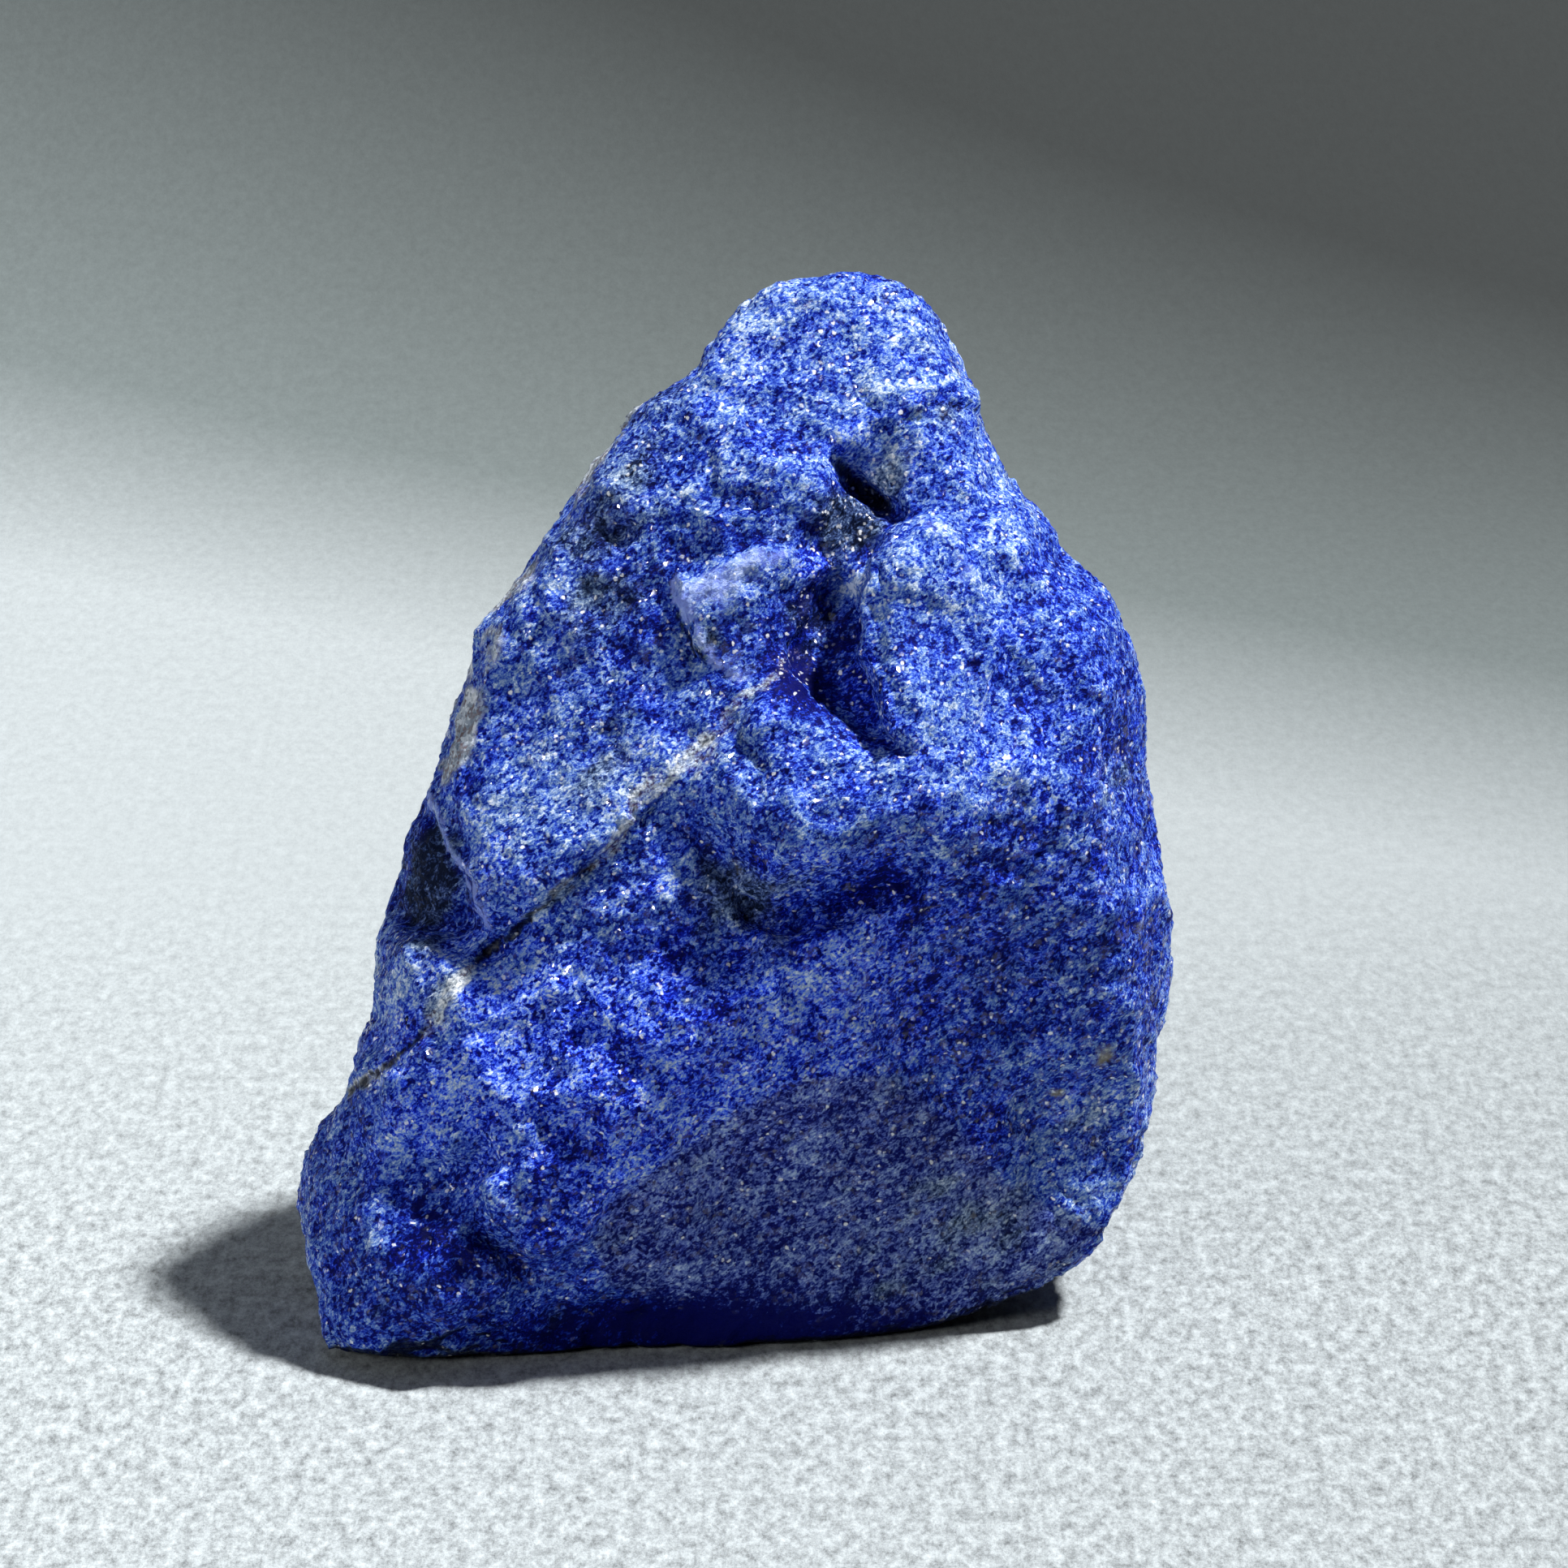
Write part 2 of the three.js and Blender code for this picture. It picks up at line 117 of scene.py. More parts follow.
PANES = (
    # The deep chip at the left rim.
    flat_pane(((-13.9, 21.9), (-13.3, 20.4), (-12.5, 19.3), (-11.9, 18.5), (-11.3, 17.8), (-11.5, 17),
               (-11.4, 16.3), (-11.9, 15.7), (-13, 15.6), (-14.1, 16), (-18, 16.4), (-18, 22.5)),
              (-15.5, 14.5), (-11.5, 20.5), rise=-4, tone=-0.22, glint=-1, rind=-1),
    # The left slab's lower end, which dips to the crack along the vein.
    flat_pane(((-11.4, 17.8), (-10.4, 18.3), (-9, 18.2), (-8.4, 17.8), (-9.4, 16.7), (-10.4, 15.9),
               (-11.4, 15.5), (-11.7, 16.4)), (-10.6, 15.8), (-9.8, 18.4), rise=-0.3),
    # Below the step at upper left, and the pit in that step.
    flat_pane(((-9.6, 34.6), (-8.6, 34.1), (-7.6, 33.9), (-6.4, 33.95), (-5.9, 33.6), (-4.2, 33.7),
               (-3, 33.8), (-1.8, 33.4), (-0.8, 32.6), (-0.3, 31.9), (-3, 30), (-6, 29), (-9, 30),
               (-10.5, 31.5)), (-6, 33.9), (-6.3, 28.6), rise=-0.3),
    flat_pane(((-6, 33.6), (-5.4, 33), (-4.9, 32.4), (-4.3, 32.5), (-4.1, 33.1), (-4.5, 33.5),
               (-5.2, 33.4)), (-5.2, 33), (-1, 31), rise=-0.7),
    # Under the knob's left side.
    flat_pane(((-4.5, 39.6), (-3.2, 39.9), (-1.9, 39.6), (-0.6, 39.5), (0.3, 39.2), (1, 38.6), (1.6, 37.6),
               (0.5, 36), (-2, 36), (-4.5, 37)), (-1.5, 39.4), (-1.5, 36.2), rise=-0.25),
    # The glittering recess beside the cleft above the right slab.
    flat_pane(((2.9, 32.3), (3.3, 33.6), (3.9, 34.6), (4.6, 35.2), (5.4, 34.8), (6.2, 34.1), (6.8, 33.5),
               (6.4, 32.8), (6.1, 32.2), (5.4, 31.5), (4.9, 31.1), (4.2, 31.7), (3.7, 31.9)),
              (5.5, 32.3), (2.6, 36), rise=-0.35, tone=-0.16, glint=0.8),
    # The deep recess between the flake, the right slab and the middle block, painted darker as shade.
    flat_pane(((2.3, 28.3), (3.1, 29.3), (3.4, 30.6), (4.1, 31.5), (4.9, 31), (5.2, 29.8), (5.3, 28),
               (5.9, 26.4), (6.1, 25.2), (6.7, 24.2), (7.7, 23.4), (6.4, 23.6), (5.2, 24.2), (4.3, 24.8),
               (3.4, 25.2), (2.8, 25.8), (2.4, 26.5), (2.2, 27.4)),
              (4.6, 28.5), (8.4, 21), rise=-1.3, tone=-0.12),
    # The raised flake, with a painted lilac highlight along its free edge, and its lower part, which dips
    # to that recess and is painted darker as shade.
    flat_pane(((-2.95, 31.2), (-2.5, 31.7), (-2.2, 31.25), (-1.75, 31.1), (-1.2, 31.45), (-0.4, 31.85),
               (0.4, 32.2), (1.2, 32.5), (2.4, 32.25), (3.3, 32.2), (3.9, 31.8), (3.7, 30.9), (3.3, 29.9),
               (3, 28.9), (2.4, 28.2), (1.5, 27.2), (0.6, 26.6), (-0.3, 26.5), (-1, 26.9), (-1.6, 27.7),
               (-2, 28.5), (-2.2, 29.3), (-2.7, 30.1)),
              (-2.4, 30.8), (2.6, 27), rise=0.6, tone=0.14, rim=0.3),
    flat_pane(((-1.2, 29.4), (0.4, 29.9), (1.6, 30.6), (3.4, 31), (3, 28.9), (2.4, 28.2), (0.6, 26.6),
               (-0.6, 26.7), (-1.4, 27.8)), (1.5, 26.6), (0.1, 30.6), rise=-0.9, tone=-0.22, glint=0.2),
    # The middle block, proud at its top, and the V-shaped hollow under it.
    flat_pane(((0.3, 24.6), (0.5, 25.6), (1.2, 26.3), (2.2, 26.2), (2.8, 25.6), (3.6, 25.1), (4.5, 24.7),
               (5.4, 24.1), (6.6, 23.6), (7.8, 23.2), (8, 21), (7.6, 19.6), (5, 19.4), (2, 19.6),
               (1.3, 21), (1, 22.4), (0.7, 23.6)), (2, 25.6), (3.5, 19.5), rise=0.4),
    flat_pane(((-2, 21.4), (1, 22.2), (4.4, 22), (7.6, 22), (8.6, 20.4), (8.5, 19), (8, 18), (7, 17.45),
               (5.6, 16.95), (4.6, 16.4), (3.4, 16.1), (2.6, 15.65), (1.4, 15.7), (0.3, 16.3),
               (-0.15, 17.4), (-1, 18.6), (-1.9, 19.6)), (4.8, 16), (3.4, 21.4), rise=-1.3),
    flat_pane(((-2.6, 21), (-1.6, 20.5), (-0.6, 20.6), (0.6, 20.4), (1.3, 19.4), (1.2, 17.6), (0.3, 16.5),
               (-0.3, 17.4), (-1.1, 18.6), (-2, 19.7)), (-1.9, 18.6), (2.5, 19.8), rise=-0.8),
    # The right slab's crest, paler with a painted highlight.
    flat_pane(((6.3, 33.1), (7.3, 33.7), (8.2, 33.95), (8.9, 33.6), (9.4, 32.8), (10.1, 32), (10.5, 31.2),
               (10.4, 30.3), (9.6, 29.6), (8, 30), (6.4, 31)),
              (9.4, 32.6), (6.5, 28.5), rise=0.5, tone=0.06, rim=0.2),
    # Chips over the lower left.
    flat_pane(((-7.5, 11.5), (-7.1, 11.3), (-6.9, 10.8), (-6.3, 11), (-5.9, 11.4), (-6.1, 11.8),
               (-6.8, 11.7)), (-6.7, 11), (-5, 13), rise=-0.55),
    flat_pane(((-7.7, 11.2), (-7.2, 11.2), (-6.9, 10.7), (-6.95, 10.2), (-7.5, 10.1), (-7.8, 10.6)),
              (-7.1, 10.6), (-9, 10.6), rise=0.35),
    flat_pane(((-5.4, 10.4), (-4.4, 10.9), (-3, 10.8), (-2, 10.3), (-3, 9.6), (-4.6, 9.5)),
              (-4, 10.8), (-4, 9.2), rise=-0.45),
    flat_pane(((-8.5, 8.3), (-7.6, 8.1), (-6.4, 8.4), (-5.8, 7.8), (-5.7, 6.6), (-6.3, 6.2), (-7.4, 6.2),
               (-8.2, 6.6), (-8.6, 7.4)), (-7.4, 8), (-6.8, 5.6), rise=-0.6),
    flat_pane(((-9.4, 4.6), (-8.4, 4.9), (-7.2, 4.6), (-6.8, 3.6), (-7.4, 3), (-8.6, 3.2), (-9.2, 3.8)),
              (-8.4, 4.8), (-8, 2.4), rise=-0.5),
    flat_pane(((-16, 4.6), (-14, 5.6), (-12, 6.2), (-10.6, 6.8), (-10.2, 5.8), (-11.6, 4.8), (-12.4, 3.9),
               (-14.4, 3.3), (-15.8, 3.5)), (-12.5, 5.8), (-13, 2.6), rise=-0.6),
    flat_pane(((-3.6, 12.6), (-2.4, 13.3), (-1.2, 12.8), (-1.4, 11.6), (-2.8, 11.2), (-3.8, 11.7)),
              (-2.4, 13.2), (-2.5, 10.8), rise=-0.4),
    flat_pane(((1.9, 13.9), (3, 14.4), (4.3, 13.8), (4.4, 12.6), (3.4, 11.8), (2.2, 12.2)),
              (3.2, 14), (3, 11.4), rise=-0.5),
    flat_pane(((-3.1, 16), (-2, 16.2), (-1.7, 15), (-2.6, 14.2), (-3.3, 14.8)),
              (-2.4, 16), (-2.4, 13.6), rise=-0.35),
    # The left flank and the lower left, brought round towards the light.
    flat_pane(((-19, 15.6), (-13, 15.2), (-10.2, 14.4), (-9.8, 10), (-9.9, 5), (-10.3, 1.2), (-12.1, -1.2),
               (-13.6, -2.4), (-19, -3)), (-17, 9), (-10, 9), rise=1.5),
    flat_pane(((-10.2, 9.6), (-6, 10), (-2.6, 9.4), (-1.2, 7.8), (-3.5, 6.1), (-5.4, 4.6), (-6.4, 2.8),
               (-8, 1.6), (-9.6, 2.2), (-10.6, 3.4), (-11, 6)), (-7.5, 2), (-6.5, 9.6), rise=1.0),
    # The wedge beside the foot lobe, painted darker as the lobe's shadow.
    flat_pane(((-11.7, 3.5), (-10.9, 3), (-10.1, 2.2), (-9.5, 1.4), (-9.3, 0.7), (-9.9, 0.8), (-10.3, 1.3),
               (-10.8, 1.9), (-11.2, 2.5), (-11.6, 3)), (-10.4, 2), (-14, 6), rise=-0.4, tone=-0.2),
    # The glittering hollow at lower right.
    flat_pane(((12, 8.6), (13.4, 9.6), (15, 9.9), (17, 9.6), (18, 8), (17.6, 6), (16.6, 4), (15, 2.9),
               (13.8, 3.4), (12.5, 4.4), (12, 6)), (14, 9), (15, 2.5), rise=-0.5),
    flat_pane(((10.2, 15.6), (11.4, 15.8), (12.4, 14.8), (12.2, 13.2), (11, 12.8), (10, 14)),
              (11.4, 15.4), (11, 12), rise=-0.4),
)
PANE_EDGE = 0.4

# Cracks: the line each follows, its half width and its depth.
CRACKS = (
    dict(line=((-11.7, 14.5), (-10.7, 15), (-9.7, 15.8), (-8.8, 16.9)), width=0.22, depth=1.2),
    dict(line=((4, 36.5), (5, 35.3), (6.1, 34.4), (7.2, 33.6)), width=0.34, depth=2.2),
    dict(line=((-11.1, 14.8), (-9.5, 15.9), (-8, 17.4), (-6.5, 18.7), (-5.4, 19.4)), width=0.16, depth=0.6),
    dict(line=((-5.4, 19.4), (-4.4, 21.6), (-2, 23.3), (-0.6, 24.7), (1.2, 26.6), (2.5, 28.1)),
         width=0.18, depth=0.5),
    dict(line=((-18.4, 8), (-16.6, 9.1), (-14.2, 10.9), (-12.9, 12.4)), width=0.2, depth=0.8),
    dict(line=((0, 25.3), (0.3, 24.2), (0.9, 23.2), (1.05, 22.2), (1.3, 21.2)), width=0.22, depth=0.55),
    dict(line=((-2.9, 30.3), (-2.3, 29), (-1.9, 27.9), (-1.1, 26.9)), width=0.17, depth=0.8),
)

# Lumps and small pits: middle, radius and height.
LUMPS = (
    dict(at=(-12.4, 13.3), radius=0.75, height=0.2),
    dict(at=(1.6, 25.2), radius=1.3, height=0.3),
    dict(at=(11, 6.8), radius=1.4, height=0.4),
    dict(at=(8.2, 3.7), radius=0.25, height=-0.3),
    dict(at=(10.2, 2.3), radius=0.2, height=-0.3),
    dict(at=(9.2, 2.3), radius=0.2, height=-0.25),
)

# The calcite vein, with how wide it is at each point.
VEIN = ((-17.6, 8.5, 0.22), (-16, 9.5, 0.28), (-14.2, 10.9, 0.08), (-13.5, 11.4, 0.15), (-12.7, 12.9, 0.5),
        (-11.8, 14.3, 0.25), (-11, 14.8, 0.12), (-9.5, 15.8, 0.1), (-8, 17.4, 0.1), (-6.5, 18.6, 0.12),
        (-5.5, 19.3, 0.2), (-4.8, 20.4, 0.28), (-4.1, 21.8, 0.4), (-3.3, 22.4, 0.55), (-2, 23.2, 0.6),
        (-0.7, 24.6, 0.28), (0.1, 26, 0.2), (1.2, 26.6, 0.25), (2.2, 27.5, 0.3), (2.5, 28.2, 0.25))

# How far and in how long waves the borders of all patches and notes wander, in millimetres.
PATCH_WANDER = 0.25
PATCH_WAVE = 0.9


def patch_at(u, v, along, across, turn=0, **notes):
    """A patch of the rock: its middle, half length along and across, turn in degrees, and what it adds to
    each note."""
    return dict(at=(u, v), along=along, across=across, turn=turn, notes=notes)


# Many patches paint light or shade into the tone, as marked below.
PATCHES = (
    patch_at(4, 41.5, 6.5, 4.5, tone=0.13, glint=0.2),  # knob
    patch_at(-4.5, 36.5, 4.5, 2, 50, tone=0.02, glint=0.11, grey=0.25),
    patch_at(9.8, 29, 6, 3.2, 100, tone=0.09),  # right slab
    patch_at(4.8, 33.5, 1.7, 1.2, 60, tone=-0.1, glint=0.6, grey=0.9),  # glittering recess
    patch_at(6.8, 35.9, 1.4, 0.8, 60, tone=0.2, glint=0.9, grey=0.5),
    patch_at(8.8, 38.3, 1, 0.6, 40, tone=0.04, glint=0.7, grey=0.2),
    patch_at(4.8, 30.7, 0.7, 0.45, tone=0.7, glint=1),
    patch_at(16.4, 22.6, 1.8, 1.2, 10, tone=0.06, glint=0.5, grey=0.3),
    patch_at(15.4, 8.2, 1.8, 1.2, 10, tone=0.14, glint=0.5, grey=0.4),
    patch_at(16, 10.5, 0.7, 0.5, 40, tone=0.1, stain=0.8),
    patch_at(14, 8.8, 0.5, 0.4, tone=0.1, stain=0.8),
    patch_at(5, 12.6, 4.4, 2.8, 60, vivid=0.9),
    patch_at(-3.2, 6.6, 4, 1.8, 40, vivid=0.8),
    patch_at(10.6, 7, 1.4, 1, 60, vivid=0.8),
    patch_at(-4, 10, 9, 6, 30, vivid=0.55),  # lower left
    patch_at(13, 16, 8, 6, 90, vivid=0.15),  # right
    patch_at(8, 9, 9, 6, glint=0.2),  # lower right
    patch_at(-4.6, 29.2, 3, 1.2, 110, tone=-0.1),  # left of the flake
    # Painted shadow cast by the flake on the rock below it.
    patch_at(-0.8, 26.8, 1, 0.45, -40, tone=-0.3),  # under the flake
    # Painted shadow: the right slab's wall shades the middle block's upper right.
    patch_at(2.7, 26.6, 1.8, 1, -40, tone=-0.8, glint=0.3),  # block's upper right
    # Painted shade: both ends of the V-shaped hollow under the middle block are darkened, and one is also
    # greyed.
    patch_at(0, 17.6, 2, 1, -50, tone=-0.2, grey=0.5),  # ends of the V-shaped hollow
    patch_at(5.8, 18, 2.2, 0.8, 20, tone=-0.28),
    patch_at(3.1, 31.5, 0.8, 0.5, vivid=1),  # in the flake's right end
    patch_at(3.2, 29.7, 1.7, 0.8, 85, tone=-0.35, glint=1, grey=0.3),
    # Painted shade on the flake's low side, which turns from the light.
    patch_at(-0.8, 28.4, 1.5, 0.7, 130, tone=-0.16, glint=0.3),  # low side of the flake
    # Painted highlight: the right slab's crest is paler and lilac.
    patch_at(8.6, 33.1, 1.2, 0.5, -20, tone=0.1, rim=0.3),  # right slab's crest
    patch_at(9.8, 31.4, 1, 0.5, -60, tone=0.08, rim=0.3),
    patch_at(1.4, 12.4, 4, 1.2, 45, tone=0.12, vivid=0.5),  # crest from the sill down to the foot
    patch_at(-3.4, 7.6, 3.6, 1.4, 50, tone=0.14),
    # Painted shadow beside the foot lobe's right edge.
    patch_at(-11.8, 1.9, 1.2, 0.6, 130, tone=-0.25),
    patch_at(-6.7, 33.6, 0.8, 0.5, vivid=0.8),
    # Painted shade: the underside of the belly is darkened almost to black, with no glints.
    patch_at(-1.5, -1.6, 8, 1.4, tone=-0.9, vivid=0.2, glint=-0.8),  # under the belly
    patch_at(-6, 31.5, 3, 2.6, 60, tone=-0.03, grey=0.45),
    patch_at(-9, 22, 3.4, 2, 40, tone=0.08),
    patch_at(-6, 22.8, 1.8, 0.9, 40, tone=0.16, grey=0.55),
    # Painted light, with some grey: paler on the left flank, which turns from the light.
    patch_at(-13.6, 13.6, 1.8, 1.4, 30, tone=0.14, grey=0.3),
    patch_at(-7, 14, 3.5, 1.5, tone=0.05),
    # Painted shade: the right side, which the light misses, is darkened down to its rim and up to the
    # slab's foot.
    patch_at(12, 17, 5, 3.5, 80, tone=-0.08),
    patch_at(16.6, 19, 8, 2, 90, tone=-0.12),  # right rim
    patch_at(14.6, 27, 6, 2.6, 110, tone=-0.13, vivid=0.1),
    patch_at(-8.5, 25, 5, 3, 60, tone=0.08),
    patch_at(2, 18, 4.6, 1.6, 12, tone=-0.02, grey=0.3, vivid=0.4),  # V-shaped hollow
    patch_at(-11, 20, 3.2, 0.8, 125, tone=0.16, vivid=0.2),  # left slab's free edge
    patch_at(9.6, 2.4, 4.5, 2.6, 15, grey=0.4, tone=0.04),  # greyest part of the slip face
    patch_at(-8.2, 17.2, 2, 0.4, 38, grey=0.7, stain=0.2),
    patch_at(-1.3, 28.4, 0.8, 0.5, 60, tone=0.02, grey=0.8),
    patch_at(-16.2, 2.4, 0.7, 0.5, 60, tone=0.14, grey=0.4),
    # The foot lobe is darker rock, and darker still as painted shade.
    patch_at(-13.2, 1.4, 4, 2.6, tone=-0.36),  # foot lobe
    patch_at(-13.6, 18, 2.8, 1.5, 75, tone=-0.2, grey=0.8),  # chip at the left rim
    # Painted shade in the deep recess, with a more vivid blue.
    patch_at(5.2, 26.6, 3, 0.9, 105, tone=-0.1, vivid=0.5, glint=0.3),  # deep recess
    # Painted highlight: the flake's free edge is paler and lilac.
    patch_at(-2.2, 30.7, 1.2, 0.4, 100, tone=0.2),  # flake's free edge
    patch_at(-1.1, 30.6, 1.6, 0.8, 15, tone=0.14, rim=0.4),
    patch_at(1, 31.9, 1.6, 0.35, 15, tone=0.1, rim=0.35),
    # Painted light: the left flank, which turns from the light, is made paler.
    patch_at(-12.4, 11.4, 5, 3.4, 80, tone=0.14, vivid=0.35),  # left flank
    patch_at(-15.2, 13, 1.5, 1, 60, tone=0.15),
    patch_at(-12.6, 13.1, 1.1, 0.5, 60, tone=0.16, grey=0.8),
    patch_at(-16.1, 9.4, 0.9, 0.3, 33, tone=0.3, glint=0.8, stain=0.3),
)

# The smooth slip face at lower right, where the rock once slid. Its chips are fewer, and its greyer, duller
# colour and fewer glints are painted shade, for a face turned from the light.
SLIP_FACE_WITH_PAINTED_SHADE = ((-6.5, 2.5), (-5.5, 4.5), (-3.5, 6), (-1, 7.7), (1, 9), (3, 9.8), (5.5, 10), (7.6, 9.4),
             (9.2, 8), (10.8, 6.4), (11.6, 5), (14, 3.6), (16.4, 2.6), (14, 0), (9, -2.4), (2, -2.6),
             (-3, -1), (-6, 0.4))

# The weathered rind's inner edge, down the left rim.
RIND_EDGE = ((-3.2, 40.4), (-4.4, 38.6), (-6.6, 35.4), (-8.4, 32.6), (-9.6, 30), (-10.6, 27.4),
             (-11.2, 25.2), (-11.8, 23.4), (-12.9, 22))


def smoothstep(value, low, high):
    """0 at low, 1 at high, and smooth between."""
    share = np.clip((value - low) / (high - low), 0, 1)
    return share * share * (3 - 2 * share)


def from_line(line, u, v):
    """How far each point is from a line, on which side (left is 1), and how far along it."""
    nearest = np.full(len(u), np.inf)
    side = np.zeros(len(u))
    along = np.zeros(len(u))
    for i in range(len(line) - 1):
        au, av = line[i][:2]
        du, dv = line[i + 1][0] - au, line[i + 1][1] - av
        share = np.clip(((u - au) * du + (v - av) * dv) / (du * du + dv * dv), 0, 1)
        away = np.hypot(u - au - share * du, v - av - share * dv)
        closer = away < nearest
        nearest = np.where(closer, away, nearest)
        side = np.where(closer, np.where(du * (v - av) - dv * (u - au) >= 0, 1.0, -1.0), side)
        along = np.where(closer, (i + share) / (len(line) - 1), along)
    return nearest, side, along


def inside_outline(outline, u, v):
    """How deep each point is inside a closed outline, negative outside."""
    nearest = np.full(len(u), np.inf)
    inside = np.zeros(len(u), bool)
    for (au, av), (bu, bv) in zip(outline, outline[1:] + outline[:1]):
        du, dv = bu - au, bv - av
        share = np.clip(((u - au) * du + (v - av) * dv) / (du * du + dv * dv), 0, 1)
        nearest = np.minimum(nearest, np.hypot(u - au - share * du, v - av - share * dv))
        crosses = (av > v) != (bv > v)
        inside ^= crosses & (u < au + (v - av) / (dv or 1e-9) * du)
    return np.where(inside, nearest, -nearest)


def ledge_heights(ledge, u, v, width):
    """How far a ledge, with its step this wide, lifts or sinks each point."""
    away, side, along = from_line(ledge["edge"], u, v)
    taper = smoothstep(np.minimum(along, 1 - along), 0, 0.18)
    onto = smoothstep(side * away, -width / 2, width / 2)
    top = ledge["drop"] * ledge["raised"] * np.clip(1 - away / ledge["high"], 0, 1) ** 2
    foot = -ledge["drop"] * (1 - ledge["raised"]) * np.clip(1 - away / ledge["low"], 0, 1) ** 2
    return taper * (foot + (top - foot) * onto)


def pane_height(pane, u, v):
    """How far a pane lifts or sinks each point."""
    onto = smoothstep(inside_outline(pane["outline"], u, v), -PANE_EDGE / 2, PANE_EDGE / 2)
    (mu, mv), (nu, nv) = pane["most"], pane["none"]
    du, dv = nu - mu, nv - mv
    share = 1 - np.clip(((u - mu) * du + (v - mv) * dv) / (du * du + dv * dv), 0, 1)
    return pane["rise"] * share * onto


def patch_weight(patch, u, v):
    """How much of a patch each point has: 1 at its middle, fading outwards."""
    turn = math.radians(patch["turn"])
    du, dv = u - patch["at"][0], v - patch["at"][1]
    a = (du * math.cos(turn) + dv * math.sin(turn)) / patch["along"]
    c = (dv * math.cos(turn) - du * math.sin(turn)) / patch["across"]
    return np.exp(-(a * a + c * c))


def rough(points, wave, octaves, seed):
    """Fractal noise at each point, about -1 to 1, with its longest wave given in millimetres."""
    shift = Vector((seed * 17.3, seed * 5.9, seed * 11.1))
    return np.array([
        noise.fractal(Vector(p) / wave + shift, 1.0, 2.0, octaves, noise_basis="PERLIN_ORIGINAL")
        for p in points
    ])


def chipped(points, size, seed):
    """Scooped chip scars that meet in sharp ridges, for each point: about -1 to 1."""
    shift = Vector((seed * 3.7, seed * 8.3, seed * 1.9))
    middle = Vector((0.5, 0.5, 0.5))
    heights = np.empty(len(points))
    for i, p in enumerate(points):
        place = Vector(p) / size + shift
        away, seeds = noise.voronoi(place)
        heights[i] = min(
            1.6 * (noise.cell_vector(s * 9.1) - middle).dot(place - s) + 0.9 * d * d
            for s, d in zip(seeds, away))
    return heights * 1.4 - heights.mean() * 1.4


def points_of(mesh):
    """The mesh's points, in millimetres."""
    flat = np.empty(len(mesh.vertices) * 3)
    mesh.vertices.foreach_get("co", flat)
    return flat.reshape(-1, 3) / MM


def normals_of(mesh):
    flat = np.empty(len(mesh.vertices) * 3)
    mesh.vertex_normals.foreach_get("vector", flat)
    return flat.reshape(-1, 3)


def put_points(mesh, points):
    mesh.vertices.foreach_set("co", (points * MM).ravel())
    mesh.update()


def put_note(mesh, name, values):
    """Stores a note at each point, for the material to read."""
    mesh.attributes.new(name, "FLOAT", "POINT").data.foreach_set("value", np.clip(values, -1, 1))


def on_drawing(points):
    """Where points lie on the drawing: their u and their v."""
    place = points - DRAWING_ORIGIN
    return place[:, 0], place[:, 1] * SIN + place[:, 2] * COS


def remeshed(chunk, size, rounds):
    """Replaces a piece's mesh with its rounded, evenly meshed skin."""
    if rounds:
        chunk.modifiers.new("round", "SUBSURF").levels = rounds
    skin = chunk.modifiers.new("skin", "REMESH")
    skin.mode = "VOXEL"
    skin.voxel_size = size
    bpy.context.view_layer.update()
    done = bpy.data.meshes.new_from_object(chunk.evaluated_get(bpy.context.evaluated_depsgraph_get()))
    chunk.modifiers.clear()
    old = chunk.data
    chunk.data = done
    bpy.data.meshes.remove(old)


def linear(hex_colour):
    """An sRGB hex colour as linear RGBA."""
    channels = [int(hex_colour[i : i + 2], 16) / 255 for i in (1, 3, 5)]
    return [c / 12.92 if c <= 0.04045 else ((c + 0.055) / 1.055) ** 2.4 for c in channels] + [1.0]


def add(tree, kind, settings=None, inputs=None):
    """Adds a node with its settings. Each input is a value, a socket, or a node, whose first live output is
    used."""
    made = tree.nodes.new("ShaderNode" + kind)
    for name, value in (settings or {}).items():
        setattr(made, name, value)
    for name, value in (inputs or {}).items():
        if isinstance(value, bpy.types.Node):
            value = next(output for output in value.outputs if output.enabled)
        if isinstance(value, bpy.types.NodeSocket):
            tree.links.new(value, made.inputs[name])
        else:
            made.inputs[name].default_value = value
    return made


def set_ramp(ramp, stops):
    """Gives a colour ramp its stops: [(place, linear colour), ...]."""
    while len(ramp.elements) > 1:
        ramp.elements.remove(ramp.elements[-1])
    ramp.elements[0].position = stops[0][0]
    ramp.elements[0].color = (*stops[0][1], 1)
    for place, colour in stops[1:]:
        ramp.elements.new(place).color = (*colour, 1)


def colour_setting(name, description, hex_colour):
    """A colour that a user may change, its default given as sRGB hex."""
    return FloatVectorProperty(
        name=name, description=description, subtype="COLOR", size=3, min=0, max=1,
        default=linear(hex_colour)[:3])


